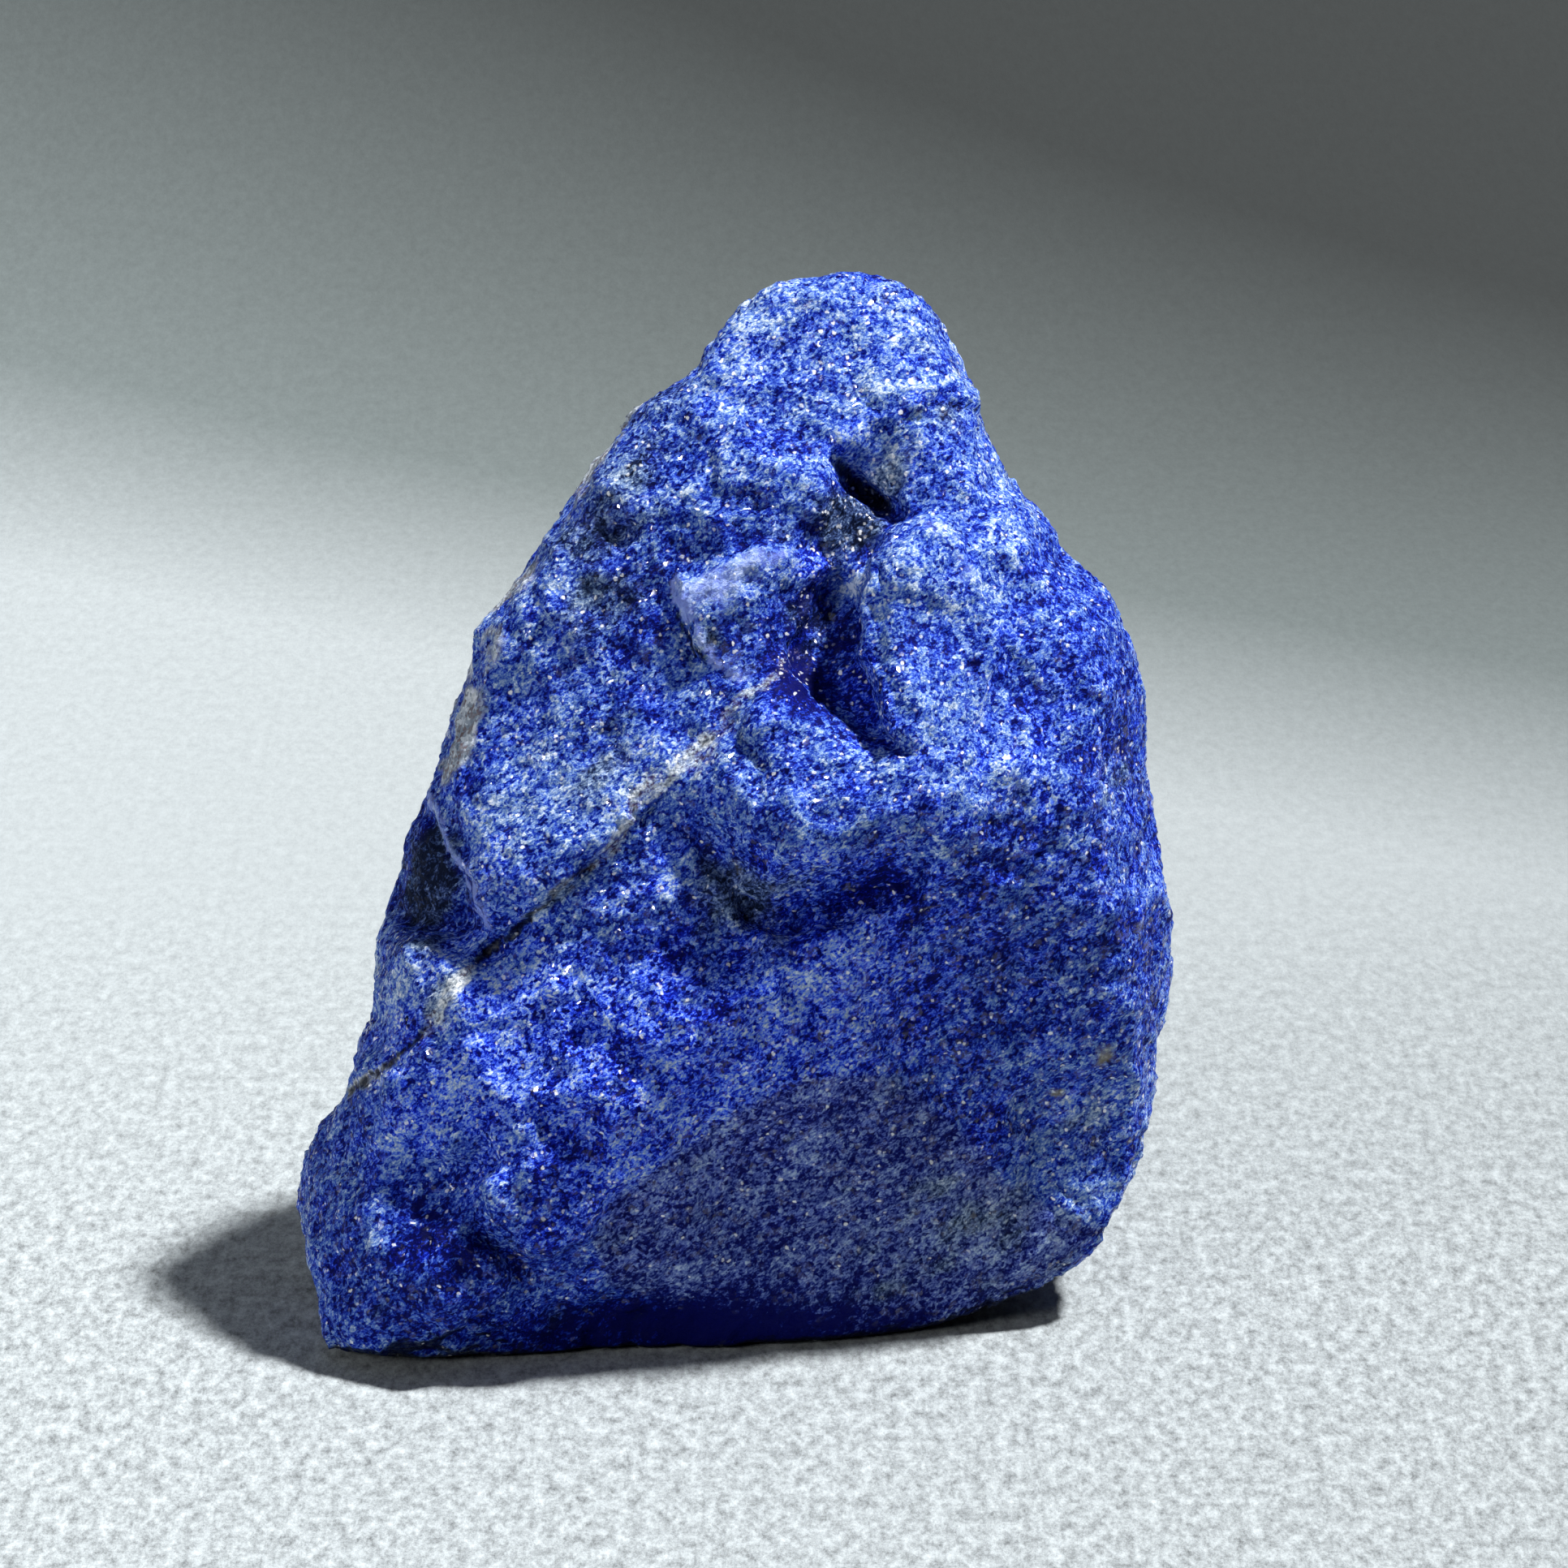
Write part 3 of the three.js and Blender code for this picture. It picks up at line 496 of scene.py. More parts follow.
class LapisRockSettings(bpy.types.PropertyGroup):
    skin: FloatProperty(
        name="Skin spacing", description="Distance between the points of the finished surface",
        default=0.000246, unit="LENGTH", precision=6)
    chip: FloatProperty(
        name="Chip size", description="Typical width of the small flat chips of a fresh break",
        default=0.0032, unit="LENGTH", precision=4)
    chip_depth: FloatProperty(
        name="Chip depth", description="How far chips stand out or in", default=0.00032,
        unit="LENGTH", precision=5)
    grain: FloatProperty(
        name="Grain size", description="Typical width of a mineral grain", default=0.00019,
        unit="LENGTH", precision=5)
    grain_depth: FloatProperty(
        name="Grain depth", description="How far grains stand out or in", default=0.00007,
        unit="LENGTH", precision=5)
    # Painted shade: the blackest blue, laid in the cracks and under the overhang where shade falls.
    pit_painted_shade: colour_setting("Pit", "Blackest blue, in the cracks and under the overhang", "#030617")
    navy: colour_setting("Navy", "Darkest lazurite, deep in the rock", "#02064E")
    ink: colour_setting("Ink blue", "Dark lazurite grains", "#071888")
    ultramarine: colour_setting("Ultramarine", "Lazurite grains", "#1A3BAA")
    denim: colour_setting("Denim blue", "Lazurite seen through a little calcite", "#4363B8")
    powder: colour_setting("Powder blue", "Lazurite and diopside mixed", "#6686C0")
    haze: colour_setting("Haze blue", "Mostly calcite, with a little lazurite", "#98ADD0")
    frost: colour_setting("Frost", "Thin flakes of calcite", "#C6D3EA")
    # Lilac is a painted highlight on thin edges, as if light soaked through them.
    lilac_painted_highlight: colour_setting("Lilac", "Thin free edges, where light soaks through", "#8E9FE4")
    calcite: colour_setting("Calcite", "Clean white calcite", "#F3F5FA")
    vivid_deep: colour_setting("Deep vivid blue", "Dark grains of the purest lazurite", "#041096")
    vivid: colour_setting("Vivid blue", "Grains of the purest lazurite", "#193CDA")
    vivid_pale: colour_setting("Pale vivid blue", "The purest lazurite under thin calcite", "#5A80EE")
    bottle: colour_setting("Bottle green", "Dark diopside with hardly any lazurite", "#0B1718")
    storm: colour_setting("Storm grey", "Diopside grains", "#3C4F5C")
    milk: colour_setting("Milky grey", "Diopside and calcite with hardly any lazurite", "#8497AC")
    # Slate and dove colour the slip face duller and greyer, as painted shade; slate also serves the vein.
    slate: colour_setting("Slate", "Dark grains of the slip face", "#0A175C")
    dove: colour_setting("Dove", "Pale grains of the slip face", "#6270AE")
    rust: colour_setting("Rust", "Iron stains in the rind and the vein", "#76645A")
    lichen_grey: colour_setting("Weathered grey", "Weathered rind", "#8C97A2")
    chalk: colour_setting("Chalk", "Palest parts of the rind and the vein", "#C8D0D8")
    ochre: colour_setting("Ochre", "Olive and ochre stains", "#7D7650")


class LapisStageSettings(bpy.types.PropertyGroup):
    distance: FloatProperty(
        name="Camera distance", description="From the camera to the chunk", default=0.3, unit="LENGTH")
    width: FloatProperty(
        name="Width in view", description="Width of the picture at the chunk", default=0.069, unit="LENGTH")
    key_power: FloatProperty(
        name="Key light", description="Power of the key light", default=34, unit="POWER")
    side_power: FloatProperty(
        name="Side light", description="Power of the broad light from the left", default=4.0, unit="POWER")
    fill: FloatProperty(name="Fill", description="Strength of the soft light from all round", default=0.115)
    paper: colour_setting("Paper", "Paper that the chunk stands on", "#93999B")
    paper_shade: colour_setting("Shaded paper", "Paper where it starts to rise", "#5C6464")
    # Back paper is painted shade: the sweep is coloured darker where it rises behind the chunk.
    paper_back_painted_shade: colour_setting("Back paper", "Paper behind the chunk", "#222626")


# Noise that the rock's colours follow: size in millimetres, detail and roughness.
CLOUDS = dict(
    fleck=(0.11, 3, 0.65), mottle=(0.6, 5, 0.7), blotch=(2.2, 3, 0.6), vivid=(1.3, 3, 0.55),
    milky=(1.5, 4, 0.6), rind=(1.5, 4, 0.6), stain=(0.5, 2, 0.5), glitter_painted_and_coat=(1.8, 2, 0.5))
# The rock's faint layers, along which patches are drawn out by squeezing the place that their noise reads.
FOLIATION = (0.77, -0.1, 0.63)
SQUEEZE = -0.45
MIDDLE_TONE = 0.385
# Sizes in grains: the bends in their borders, the large grains and the white ones.
BEND = 1.3
LARGE_GRAIN = 2.3
WHITE_GRAIN = 1.5
TIMES_PLUS = dict(operation="MULTIPLY_ADD")
NOTES = ("tone", "glint", "grey", "vivid", "stain", "vein", "slip_face_and_painted_shade", "rind", "rim", "crevice_painted_shade")


def make_rock_material(settings):
    """Granular lapis rock, freshly broken: matt, sugary grains of ultramarine lazurite, pale diopside and
    white calcite, each lying its own way, so that a few in every square millimetre flash in the light.
    White specks add painted glints, and the notes paint shade and highlights into its colour."""
    material = bpy.data.materials.new("broken lapis rock")
    material.use_nodes = True
    tree = material.node_tree
    tree.nodes.clear()

    place = add(tree, "VectorMath", dict(operation="SCALE"), {
        "Vector": add(tree, "TexCoord").outputs["Object"], "Scale": 1 / MM})
    grain = settings.grain / MM
    notes = {name: add(tree, "Attribute", dict(attribute_name=name)).outputs["Fac"] for name in NOTES}
    clouds = {}
    # The layers rise to the right, and so do the patches.
    along = add(tree, "VectorMath", dict(operation="DOT_PRODUCT"), {0: place, 1: FOLIATION})
    pull = add(tree, "Math", dict(operation="MULTIPLY"), {0: along.outputs["Value"], 1: SQUEEZE})
    squeeze = add(tree, "VectorMath", dict(operation="SCALE"), {0: FOLIATION, "Scale": pull})
    drawn_out = add(tree, "VectorMath", dict(operation="ADD"), {0: place, 1: squeeze})
    for i, (name, (size, detail, roughness)) in enumerate(CLOUDS.items()):
        shifted = add(tree, "VectorMath", dict(operation="ADD"), {
            0: drawn_out, 1: (7.1 * i, 13.3 * i, -5.7 * i)})
        clouds[name] = add(tree, "TexNoise", {}, {
            "Vector": shifted, "Scale": 1 / size, "Detail": detail, "Roughness": roughness}).outputs["Fac"]

    # The grains jostle, so their borders are bent a little before they are drawn.
    bend = add(tree, "TexNoise", {}, {"Vector": place, "Scale": 1 / (BEND * grain), "Detail": 2.0})
    bent = add(tree, "VectorMath", TIMES_PLUS, {0: bend.outputs["Color"], 1: (BEND * grain,) * 3, 2: place})
    small = add(tree, "TexVoronoi", {}, {"Vector": bent, "Scale": 1 / grain})
    large = add(tree, "TexVoronoi", {}, {"Vector": bent, "Scale": 1 / (LARGE_GRAIN * grain)})
    small_draw = add(tree, "SeparateColor", {}, {"Color": small.outputs["Color"]})
    large_draw = add(tree, "SeparateColor", {}, {"Color": large.outputs["Color"]})

    # Tone: dark lazurite at 0, white calcite at 1. Its note also carries painted light and shade. Each part
    # adds its swing about the middle.
    tone = add(tree, "Math", dict(operation="ADD"), {0: notes["tone"], 1: MIDDLE_TONE})
    for part, swing in (
            (small_draw.outputs[0], 0.54), (large_draw.outputs[0], 0.22), (clouds["fleck"], 1.9),
            (clouds["mottle"], 1.1), (clouds["blotch"], 0.75)):
        off = add(tree, "Math", dict(operation="SUBTRACT"), {0: part, 1: 0.5})
        tone = add(tree, "Math", TIMES_PLUS, {0: off, 1: swing, 2: tone})
    lapis = add(tree, "ValToRGB", {}, {"Fac": tone})
    set_ramp(lapis.color_ramp, (
        (0.0, settings.navy), (0.15, settings.ink), (0.32, settings.ultramarine), (0.48, settings.denim),
        (0.64, settings.powder), (0.86, settings.haze), (1.0, settings.frost)))
    colour = lapis.outputs["Color"]

    # Where there is hardly any calcite the same grains are a purer blue.
    pure = add(tree, "ValToRGB", {}, {"Fac": tone})
    set_ramp(pure.color_ramp, (
        (0.0, settings.navy), (0.24, settings.vivid_deep), (0.42, settings.vivid),
        (0.6, settings.vivid_pale), (0.86, settings.haze), (1.0, settings.frost)))

    # Painted shade: the slip face, turned from the light, is a duller, greyer indigo.
    slip_tone = add(tree, "Math", TIMES_PLUS, {0: notes["grey"], 1: 0.3, 2: tone})
    slip_face_and_painted_shade = add(tree, "ValToRGB", {}, {"Fac": slip_tone})
    set_ramp(slip_face_and_painted_shade.color_ramp, (
        (0.0, settings.navy), (0.25, settings.slate), (0.65, settings.dove), (1.0, settings.haze)))

    # Here and there the rock is mostly diopside, grey-green.
    grey = add(tree, "ValToRGB", {}, {"Fac": tone})
    set_ramp(grey.color_ramp, (
        (0.0, settings.bottle), (0.35, settings.storm), (0.7, settings.milk), (1.0, settings.chalk)))

    # The weathered rind: grey-green to chalky, with brown spots of iron.
    grainy = add(tree, "Math", TIMES_PLUS, {0: small_draw.outputs[1], 1: 0.3, 2: clouds["rind"]})
    rind = add(tree, "ValToRGB", {}, {"Fac": grainy})
    set_ramp(rind.color_ramp, (
        (0.4, settings.storm), (0.5, settings.lichen_grey), (0.57, settings.rust),
        (0.62, settings.lichen_grey), (0.74, settings.chalk), (0.92, settings.calcite)))

    # The vein: chalky calcite grains among grey ones, with iron between them.
    vein = add(tree, "ValToRGB", {}, {"Fac": tone})
    set_ramp(vein.color_ramp, (
        (0.0, settings.slate), (0.16, settings.rust), (0.4, settings.lichen_grey), (0.75, settings.chalk),
        (1.0, settings.calcite)))

    # Each finish is laid over the last. It shows where its note and its noise together pass from low to
    # high, and up to its cover.
    for name, noise_part, noise_share, low, high, cover, finish in (
            ("vivid", clouds["vivid"], 1.6, 0.72, 1.35, 0.95, pure),
            # painted shade: the slip face duller and greyer
            ("slip_face_and_painted_shade", clouds["mottle"], 0.5, 0.45, 1.2, 0.75, slip_face_and_painted_shade),
            ("grey", clouds["milky"], 1.6, 0.9, 1.4, 0.75, grey),
            # painted highlight: lilac on thin edges, as if light soaked through
            ("rim", clouds["mottle"], 1.0, 0.8, 1.3, 0.7, (*settings.lilac_painted_highlight, 1)),
            ("rind", clouds["mottle"], 0.9, 0.95, 1.4, 0.9, rind),
            ("vein", clouds["mottle"], 2.4, 1.8, 2.4, 0.85, vein),
            ("stain", clouds["stain"], 0.8, 0.7, 1.1, 0.8, (*settings.ochre, 1)),
            # painted shade: blackest blue in the cracks and under the overhang
            ("crevice_painted_shade", clouds["mottle"], 0.5, 0.45, 1.0, 0.9, (*settings.pit_painted_shade, 1))):
        there = add(tree, "Math", TIMES_PLUS, {0: noise_part, 1: noise_share, 2: notes[name]})
        cover_there = add(tree, "MapRange", dict(interpolation_type="SMOOTHSTEP"), {
            "Value": there, "From Min": low, "From Max": high, "To Max": cover})
        colour = add(tree, "Mix", dict(data_type="RGBA"), {0: cover_there, 6: colour, 7: finish})

    # Scattered white grains, thickest where the rock glitters; many are painted highlights that stand in
    # for glints, and show even where no light reaches. Only the highest draws become one.
    specks = add(tree, "TexVoronoi", {}, {"Vector": bent, "Scale": 1 / (WHITE_GRAIN * grain)})
    speck_draw = add(tree, "SeparateColor", {}, {"Color": specks.outputs["Color"]})
    glitter_painted_and_coat = add(tree, "Math", TIMES_PLUS, {0: notes["glint"], 1: 0.4, 2: speck_draw})
    glitter_painted_and_coat = add(tree, "Math", TIMES_PLUS, {0: clouds["glitter_painted_and_coat"], 1: 0.2, 2: glitter_painted_and_coat})
    chosen = add(tree, "MapRange", {}, {"Value": glitter_painted_and_coat, "From Min": 0.98, "From Max": 1.02})
    whiteness = add(tree, "MapRange", {}, {"Value": speck_draw.outputs[1], "To Min": 0.35, "To Max": 1.0})
    white_grain_and_painted_glint = add(tree, "MapRange", {}, {
        "Value": specks.outputs["Distance"], "From Min": 0.36, "From Max": 0.22, "To Max": whiteness})
    white_grain_and_painted_glint = add(tree, "Math", dict(operation="MULTIPLY"), {0: chosen, 1: white_grain_and_painted_glint})
    colour = add(tree, "Mix", dict(data_type="RGBA"), {0: white_grain_and_painted_glint, 6: colour, 7: (*settings.calcite, 1)})

    # Each grain leans its own way a little. The clear faces that flash lean much further.
    normal = add(tree, "NewGeometry").outputs["Normal"]
    lain = []
    for draw, tilt in ((small, 0.3), (specks, 1.5)):
        off = add(tree, "VectorMath", dict(operation="SUBTRACT"), {
            0: draw.outputs["Color"], 1: (0.5, 0.5, 0.5)})
        lean = add(tree, "VectorMath", TIMES_PLUS, {0: off, 1: (tilt,) * 3, 2: normal})
        lain.append(add(tree, "VectorMath", dict(operation="NORMALIZE"), {0: lean}))
    bump = add(tree, "Bump", {}, {
        "Height": tone, "Distance": 1.6 * settings.grain_depth, "Strength": 0.5, "Normal": lain[0]})

    surface = add(tree, "BsdfPrincipled", {}, {
        "Base Color": colour,
        "Roughness": add(tree, "MapRange", {}, {
            "Value": small_draw.outputs[2], "To Min": 0.45, "To Max": 0.85}),
        "IOR": 1.5,
        "Specular IOR Level": 0.06,
        "Normal": bump,
        "Coat Weight": add(tree, "MapRange", {}, {"Value": glitter_painted_and_coat, "From Min": 0.75, "From Max": 0.85}),
        "Coat Roughness": 0.12,
        "Coat IOR": 1.4,
        "Coat Normal": lain[1],
    })
    out = add(tree, "OutputMaterial", {}, {"Surface": surface})
    out.is_active_output = True
    return material


class LAPIS_OT_break_chunk(bpy.types.Operator):
    """Rounds the CAD solid and breaks its skin into ledges, clefts, chips and grains"""

    bl_idname = "lapis.break_chunk"
    bl_label = "Break Chunk"

    def execute(self, context):
        settings = context.scene.lapis_rock
        chunk = bpy.data.objects.new("lapis_chunk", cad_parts["lapis_stone"].data.copy())
        context.scene.collection.objects.link(chunk)
        chunk.data.materials.clear()
        welded = bmesh.new()
        welded.from_mesh(chunk.data)
        bmesh.ops.remove_doubles(welded, verts=welded.verts, dist=1e-6)
        welded.to_mesh(chunk.data)
        welded.free()

        # The ledges and cracks are cut in a coarser skin, which the second one then follows evenly.
        remeshed(chunk, 1.45 * settings.skin, 2)
        self.carve(chunk.data)
        remeshed(chunk, settings.skin, 0)
        relief = self.roughen(chunk.data, settings)
        self.take_notes(chunk.data, relief)
        for polygon in chunk.data.polygons:
            polygon.use_smooth = True
        chunk.data.materials.append(make_rock_material(settings))
        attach(chunk, "root")
        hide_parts("lapis_stone")
        return {"FINISHED"}

    @staticmethod
    def carve(mesh):
        """Sharpens the front's ledges and cuts its clefts, towards and away from the eye of the drawing."""
        points = points_of(mesh)
        normals = normals_of(mesh)
        u, v = on_drawing(points)
        u = u + EDGE_WANDER * rough(points, EDGE_WAVE, 2, 1)
        v = v + EDGE_WANDER * rough(points, EDGE_WAVE, 2, 2)
        facing = smoothstep(normals @ TOWARDS_EYE, 0.0, 0.22)
        height = np.zeros(len(points))
        for ledge in LEDGES:
            height += ledge_heights(ledge, u, v, LEDGE_WIDTH)
            if ledge["was"]:
                height -= ledge_heights(ledge, u, v, ledge["was"])
        for pane in PANES:
            height += pane_height(pane, u, v)
        for crack in CRACKS:
            away, _, along = from_line(crack["line"], u, v)
            taper = smoothstep(np.minimum(along, 1 - along), -0.05, 0.3)
            height -= taper * crack["depth"] * np.exp(-((away / crack["width"]) ** 2))
        for lump in LUMPS:
            away = np.hypot(u - lump["at"][0], v - lump["at"][1])
            height += lump["height"] * np.exp(-((away / lump["radius"]) ** 2))
        points += TOWARDS_EYE * (height * facing)[:, None]
        put_points(mesh, points)

    @staticmethod
    def roughen(mesh, settings):
        """Chips and grains all over, fewer on the slip face and none on the resting facet. Gives back how
        far each point moved, in millimetres."""
        points = points_of(mesh)
        normals = normals_of(mesh)
        u, v = on_drawing(points)
        front = smoothstep(normals @ TOWARDS_EYE, 0.0, 0.3)
        slip_face_and_painted_shade = front * smoothstep(inside_outline(SLIP_FACE_WITH_PAINTED_SHADE, u, v), -0.2, 0.3)
        chip = settings.chip / MM
        height = (settings.chip_depth / MM) * (
            chipped(points, chip, 1)
            + 0.45 * chipped(points, chip / 2.5, 2)
            + 0.65 * chipped(points, chip * 2.1, 3))
        height *= 1 - 0.75 * slip_face_and_painted_shade
        height += 0.09 * rough(points, 1.7, 4, 3) * (1 - 0.5 * slip_face_and_painted_shade)
        height += settings.grain_depth / MM * 1.7 * rough(points, 2.4 * settings.grain / MM, 2, 4)
        height *= smoothstep(points[:, 2], 0.05, 0.8)
        points += normals * height[:, None]
        points[:, 2] = np.maximum(points[:, 2], 0)
        put_points(mesh, points)
        return height

    @staticmethod
    def take_notes(mesh, relief):
        """Notes what the rock is like at each point, and where shade, highlights and glints are painted
        into its colour.
        """
        points = points_of(mesh)
        normals = normals_of(mesh)
        u, v = on_drawing(points)
        jagged_u = u + PATCH_WANDER * rough(points, PATCH_WAVE, 3, 5)
        jagged_v = v + PATCH_WANDER * rough(points, PATCH_WAVE, 3, 6)
        front = smoothstep(normals @ TOWARDS_EYE, 0.05, 0.35)

        laid = ("tone", "glint", "grey", "vivid", "stain", "rim", "rind")
        notes = {name: np.zeros(len(points)) for name in laid}
        for patch in PATCHES:
            weight = patch_weight(patch, jagged_u, jagged_v) * front
            for name, added in patch["notes"].items():
                notes[name] += weight * added
        for pane in PANES:
            weight = smoothstep(inside_outline(pane["outline"], jagged_u, jagged_v), -0.12, 0.12) * front
            for name, added in pane["notes"].items():
                notes[name] += weight * added
        notes["tone"] += 0.08 * rough(points, 9, 3, 7)
        notes["tone"] += 0.3 * relief  # painted light and shade: chips that stand out are paler, sunk ones darker
        notes["glint"] += 0.07 * np.clip(rough(points, 5, 2, 8), 0, 1)

        away, _, along = from_line(VEIN, jagged_u, jagged_v)
        width = np.interp(along, np.linspace(0, 1, len(VEIN)), [p[2] for p in VEIN])
        notes["vein"] = front * smoothstep(away / width, 2.2, 0.3)
        notes["slip_face_and_painted_shade"] = front * smoothstep(inside_outline(SLIP_FACE_WITH_PAINTED_SHADE, jagged_u, jagged_v), -0.3, 0.6)
        # Painted shade: fewer glints on the slip face, which the light misses.
        notes["glint"] -= 0.15 * notes["slip_face_and_painted_shade"]

        away, side, _ = from_line(RIND_EDGE, jagged_u, jagged_v)
        leftwards = smoothstep(-normals[:, 0], 0.35, 0.75) * smoothstep(normals @ TOWARDS_EYE, 0.3, 0.0)
        beyond_edge = smoothstep(-side * away, -0.9, 0.3) * smoothstep(v, 20.5, 22.5) * (u < 0)
        round_the_side = (side < 0) * leftwards * smoothstep(points[:, 2], 15, 22)
        rind = np.maximum(beyond_edge, round_the_side)
        notes["rind"] += rind * smoothstep(rough(points, 2.4, 3, 9), -0.6, 0.3)
        notes["rind"] = np.clip(notes["rind"], 0, 1)
        notes["glint"] -= 0.4 * notes["rind"]

        # Painted highlight: a thin lilac line along the high side of each ledge's edge.
        for ledge in LEDGES:
            away, side, along = from_line(ledge["edge"], jagged_u, jagged_v)
            taper = smoothstep(np.minimum(along, 1 - along), 0, 0.15)
            notes["rim"] += taper * ledge["rim"] * np.exp(-away / 0.3) * (side > 0)
        notes["rim"] *= front

        # Painted shade: the cracks are darkened, and so are surfaces that face down close to the ground,
        # under the overhang.
        crevice_painted_shade = np.zeros(len(points))
        for crack in CRACKS:
            away, _, along = from_line(crack["line"], jagged_u, jagged_v)
            taper = smoothstep(np.minimum(along, 1 - along), -0.05, 0.25)
            crevice_painted_shade += taper * min(1, crack["depth"]) * np.exp(-((away / crack["width"]) ** 2))
        under = 0.9 * smoothstep(-normals[:, 2], 0.3, 0.7) * smoothstep(points[:, 2], 4, 1)
        notes["crevice_painted_shade"] = np.maximum(front * crevice_painted_shade, under)

        for name, values in notes.items():
            put_note(mesh, name, values)


# The paper sweep, in metres: half its width, its near end, where it starts to rise, how wide its curve is,
# how high it reaches and how many steps the curve has. FIBRE is the size of the paper's largest fibres.
SWEEP_HALF_WIDTH = 1.2
SWEEP_NEAR = -0.9
SWEEP_FLAT_TO = 0.115
SWEEP_CURVE = 0.16
SWEEP_TOP = 0.9
SWEEP_STEPS = 24
FIBRE = 0.0006

# The lamps: the way to each from the chunk, how far off they hang, and how wide they are.
KEY_WAY = (0.44, -0.02, 0.9)
SIDE_WAY = (-0.75, -0.6, 0.4)
LAMP_DISTANCE = 1.2
LAMP_AIM = Vector((0, 0, 0.02))
KEY_WIDTH = 0.1
SIDE_WIDTH = 0.35
BRIGHTEST_WAY = (-0.35, 0.6, 0.7)  # where the soft light is strongest

# Where the camera looks: u and v on the drawing, and how far behind it, or before it if negative.
AIM_U = 2.0
AIM_V = 22.29
AIM_DEPTH = -8.0


class LAPIS_OT_set_stage(bpy.types.Operator):
    """Adds the pale paper sweep, the lights and the camera"""

    bl_idname = "lapis.set_stage"
    bl_label = "Set Stage"

    def execute(self, context):
        settings = context.scene.lapis_stage
        self.lay_sweep(context, settings)
        self.hang_lights(context, settings)
        self.place_camera(context, settings)
        return {"FINISHED"}

    @staticmethod
    def lay_sweep(context, settings):
        line = [(SWEEP_NEAR, 0.0), (SWEEP_FLAT_TO, 0.0)]
        for i in range(1, SWEEP_STEPS + 1):
            turn = math.pi / 2 * i / SWEEP_STEPS
            line.append((SWEEP_FLAT_TO + SWEEP_CURVE * math.sin(turn), SWEEP_CURVE * (1 - math.cos(turn))))
        line.append((SWEEP_FLAT_TO + SWEEP_CURVE, SWEEP_TOP))
        corners = [(x, y, z) for y, z in line for x in (-SWEEP_HALF_WIDTH, SWEEP_HALF_WIDTH)]
        faces = [(2 * i, 2 * i + 1, 2 * i + 3, 2 * i + 2) for i in range(len(line) - 1)]
        mesh = bpy.data.meshes.new("paper_sweep")
        mesh.from_pydata(corners, [], faces)
        for polygon in mesh.polygons:
            polygon.use_smooth = True
        sweep = bpy.data.objects.new("paper_sweep", mesh)
        context.scene.collection.objects.link(sweep)

        # Matt, faintly fibrous paper, pale in front and painted grey where it rises behind: painted shade.
        material = bpy.data.materials.new("backdrop paper with painted shade")
        material.use_nodes = True
        tree = material.node_tree
        surface = tree.nodes["Principled BSDF"]
        place = add(tree, "TexCoord").outputs["Object"]
        # Painted shade: it darkens towards the back, and a little sooner on the right.
        away = add(tree, "VectorMath", dict(operation="DOT_PRODUCT"), {0: place, 1: (0.6, 1, 0)})
        back = add(tree, "MapRange", {}, {
            "Value": away.outputs["Value"], "From Min": 0.075, "From Max": 0.18})
        shades = add(tree, "ValToRGB", {}, {"Fac": back})
        set_ramp(shades.color_ramp, (
            (0.0, settings.paper), (0.35, settings.paper_shade), (1.0, settings.paper_back_painted_shade)))
        drawn_out = add(tree, "VectorMath", dict(operation="MULTIPLY"), {0: place, 1: (1, 0.5, 1)})
        fibres = add(tree, "TexNoise", {}, {
            "Vector": drawn_out, "Scale": 1 / FIBRE, "Detail": 5.0, "Roughness": 0.85})
        mottled = add(tree, "MapRange", {}, {
            "Value": fibres, "From Min": 0.32, "From Max": 0.68, "To Min": 0.35, "To Max": 1.6})
        # The fibres fade behind the chunk, and painted light makes the paper a little paler to its left.
        spot = add(tree, "SeparateXYZ", {}, {"Vector": place})
        soft = add(tree, "MapRange", {}, {
            "Value": spot.outputs["Y"], "From Min": 0.0, "From Max": 0.05, "To Max": 0.8})
        mottled = add(tree, "Mix", {}, {0: soft, 2: mottled, 3: 1.0})
        leftwards_painted_light = add(tree, "MapRange", {}, {
            "Value": spot.outputs["X"], "From Min": -0.04, "From Max": 0.04,
            "To Min": 1.14, "To Max": 0.88})
        mottled = add(tree, "Math", dict(operation="MULTIPLY"), {0: mottled, 1: leftwards_painted_light})
        tinted = add(tree, "VectorMath", dict(operation="SCALE"), {0: shades, "Scale": mottled})
        tree.links.new(tinted.outputs[0], surface.inputs["Base Color"])
        bump = add(tree, "Bump", {}, {"Height": fibres, "Distance": 0.00008, "Strength": 0.5})
        tree.links.new(bump.outputs["Normal"], surface.inputs["Normal"])
        surface.inputs["Roughness"].default_value = 0.9
        mesh.materials.append(material)

    @staticmethod
    def hang_lights(context, settings):
        for name, way, width, power in (
                ("key", Vector(KEY_WAY).normalized(), KEY_WIDTH, settings.key_power),
                ("side", Vector(SIDE_WAY).normalized(), SIDE_WIDTH, settings.side_power)):
            light = bpy.data.lights.new(name, "AREA")
            light.shape = "DISK"
            light.size = width
            light.energy = power
            hung = bpy.data.objects.new(name, light)
            context.scene.collection.objects.link(hung)
            hung.location = LAMP_AIM + way * LAMP_DISTANCE
            hung.rotation_euler = way.to_track_quat("Z", "Y").to_euler()

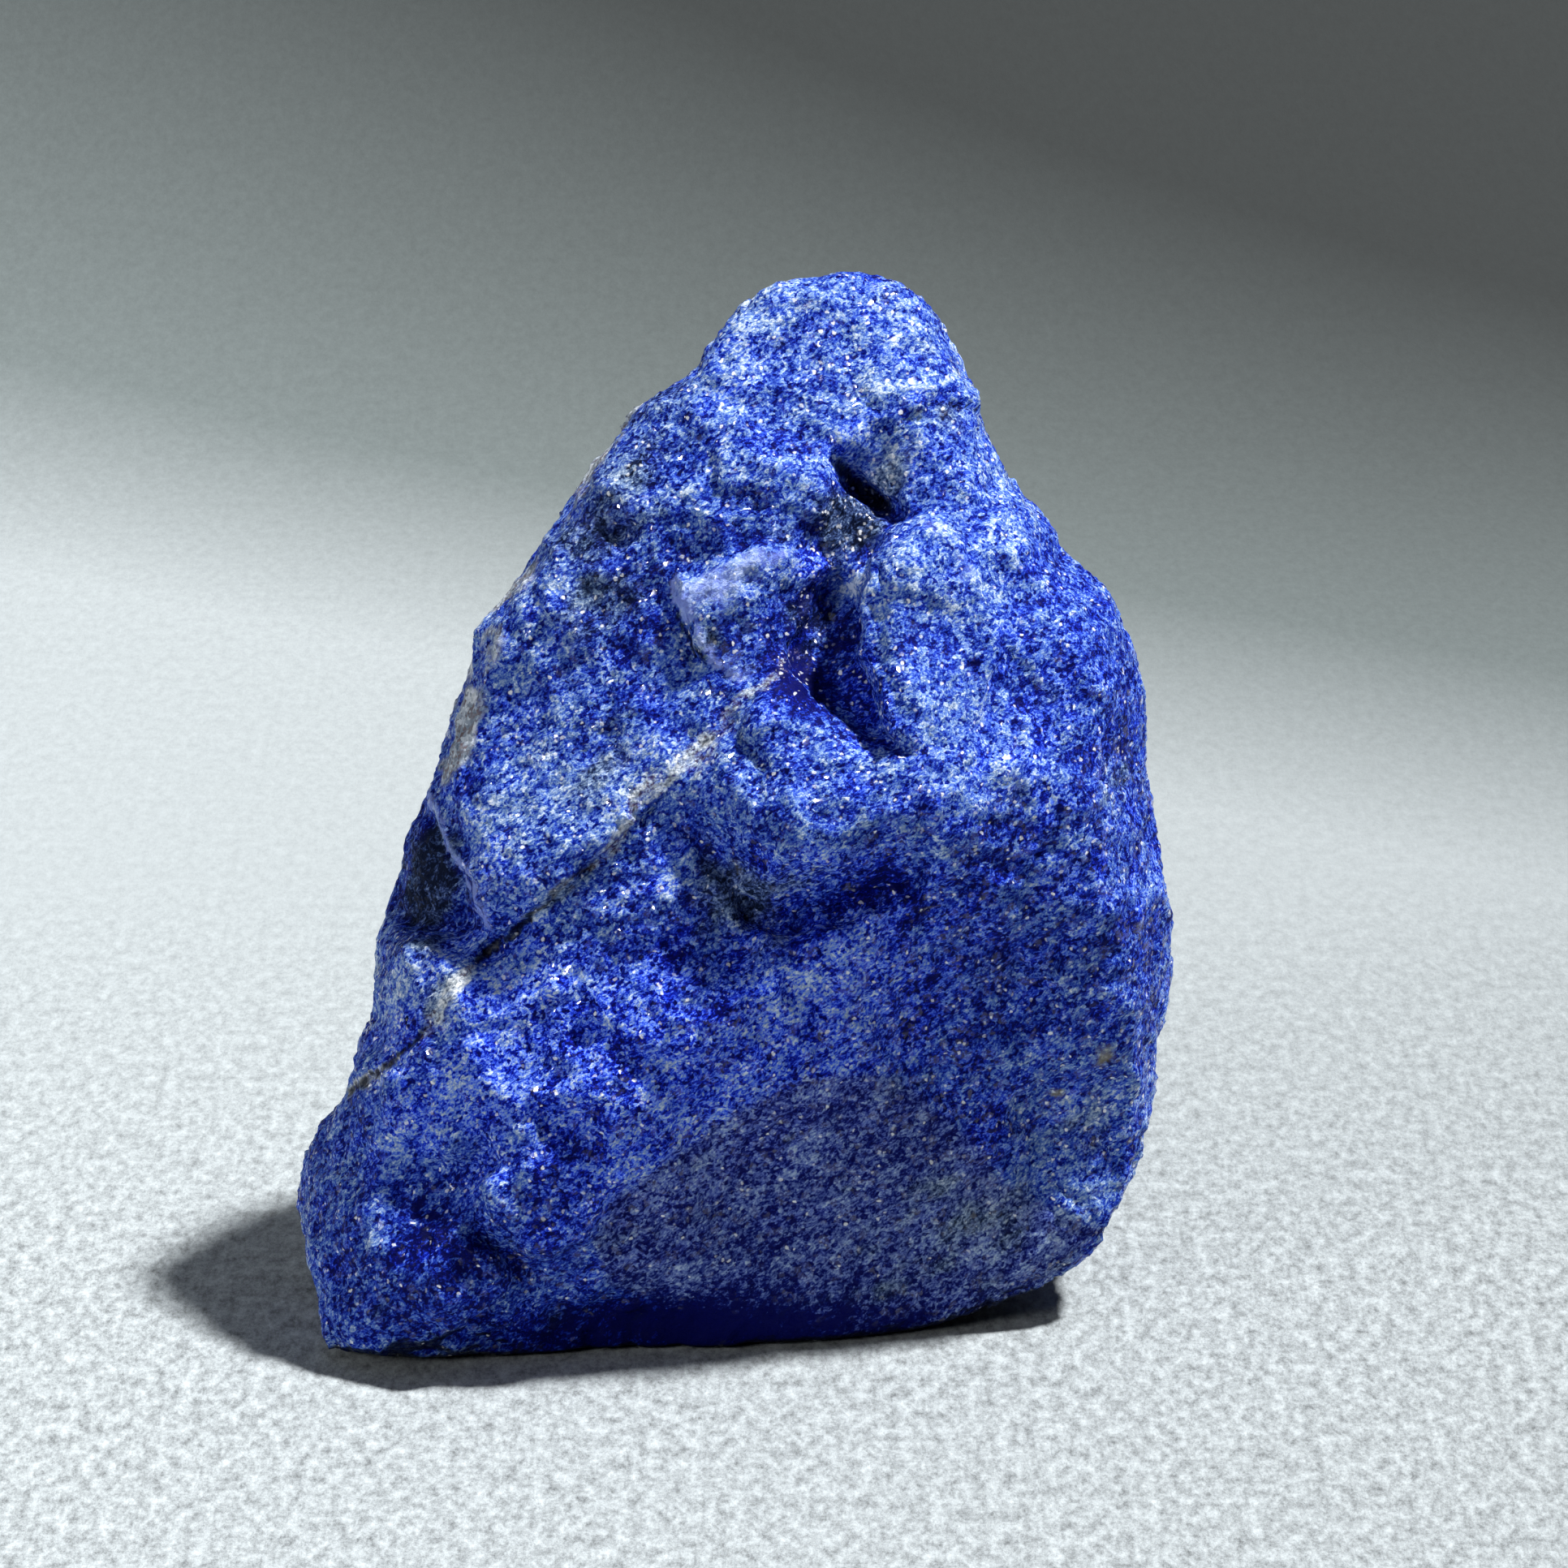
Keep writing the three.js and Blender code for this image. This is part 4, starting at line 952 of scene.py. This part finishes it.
        # Soft light from all round, strongest from high at the back and faint from low down.
        world = bpy.data.worlds.new("even_light")
        context.scene.world = world
        world.use_nodes = True
        tree = world.node_tree
        background = tree.nodes["Background"]
        background.inputs["Color"].default_value = linear("#DAE4F8")
        upwards = add(tree, "VectorMath", dict(operation="DOT_PRODUCT"), {
            0: add(tree, "TexCoord").outputs["Generated"], 1: Vector(BRIGHTEST_WAY).normalized()})
        strength = add(tree, "MapRange", {}, {
            "Value": upwards.outputs["Value"], "From Min": 0.15, "From Max": 0.95,
            "To Min": 0.02 * settings.fill, "To Max": 2.4 * settings.fill})
        tree.links.new(strength.outputs["Result"], background.inputs["Strength"])
        context.scene.view_settings.view_transform = "Standard"

    @staticmethod
    def place_camera(context, settings):
        aim = DRAWING_ORIGIN + (AIM_U, AIM_V * SIN + AIM_DEPTH * COS, AIM_V * COS - AIM_DEPTH * SIN)
        camera = bpy.data.cameras.new("camera")
        camera.sensor_width = 36
        camera.lens = camera.sensor_width * settings.distance / settings.width
        camera.clip_start = 0.01
        camera.clip_end = 20
        placed = bpy.data.objects.new("camera", camera)
        context.scene.collection.objects.link(placed)
        eye = Vector(TOWARDS_EYE)
        placed.location = Vector(aim * MM) + eye * settings.distance
        placed.rotation_euler = eye.to_track_quat("Z", "Y").to_euler()
        context.scene.camera = placed


class LAPIS_PT_panel(bpy.types.Panel):
    """Lists the steps that make the chunk and its stage"""

    bl_idname = "LAPIS_PT_panel"
    bl_label = "Rough Lapis Lazuli"
    bl_space_type = "VIEW_3D"
    bl_region_type = "UI"
    bl_category = "Lapis"

    def draw(self, context):
        for name in ("lapis_rock", "lapis_stage"):
            group = getattr(context.scene, name)
            for prop in group.__annotations__:
                self.layout.prop(group, prop)
        self.layout.operator(LAPIS_OT_break_chunk.bl_idname)
        self.layout.operator(LAPIS_OT_set_stage.bl_idname)


CLASSES = (LapisRockSettings, LapisStageSettings, LAPIS_OT_break_chunk, LAPIS_OT_set_stage, LAPIS_PT_panel)


def register():
    for made in CLASSES:
        bpy.utils.register_class(made)
    bpy.types.Scene.lapis_rock = PointerProperty(type=LapisRockSettings)
    bpy.types.Scene.lapis_stage = PointerProperty(type=LapisStageSettings)


def unregister():
    del bpy.types.Scene.lapis_rock
    del bpy.types.Scene.lapis_stage
    for made in reversed(CLASSES):
        bpy.utils.unregister_class(made)


def main():
    register()
    bpy.ops.lapis.break_chunk()
    bpy.ops.lapis.set_stage()


if __name__ == "__main__":
    main()
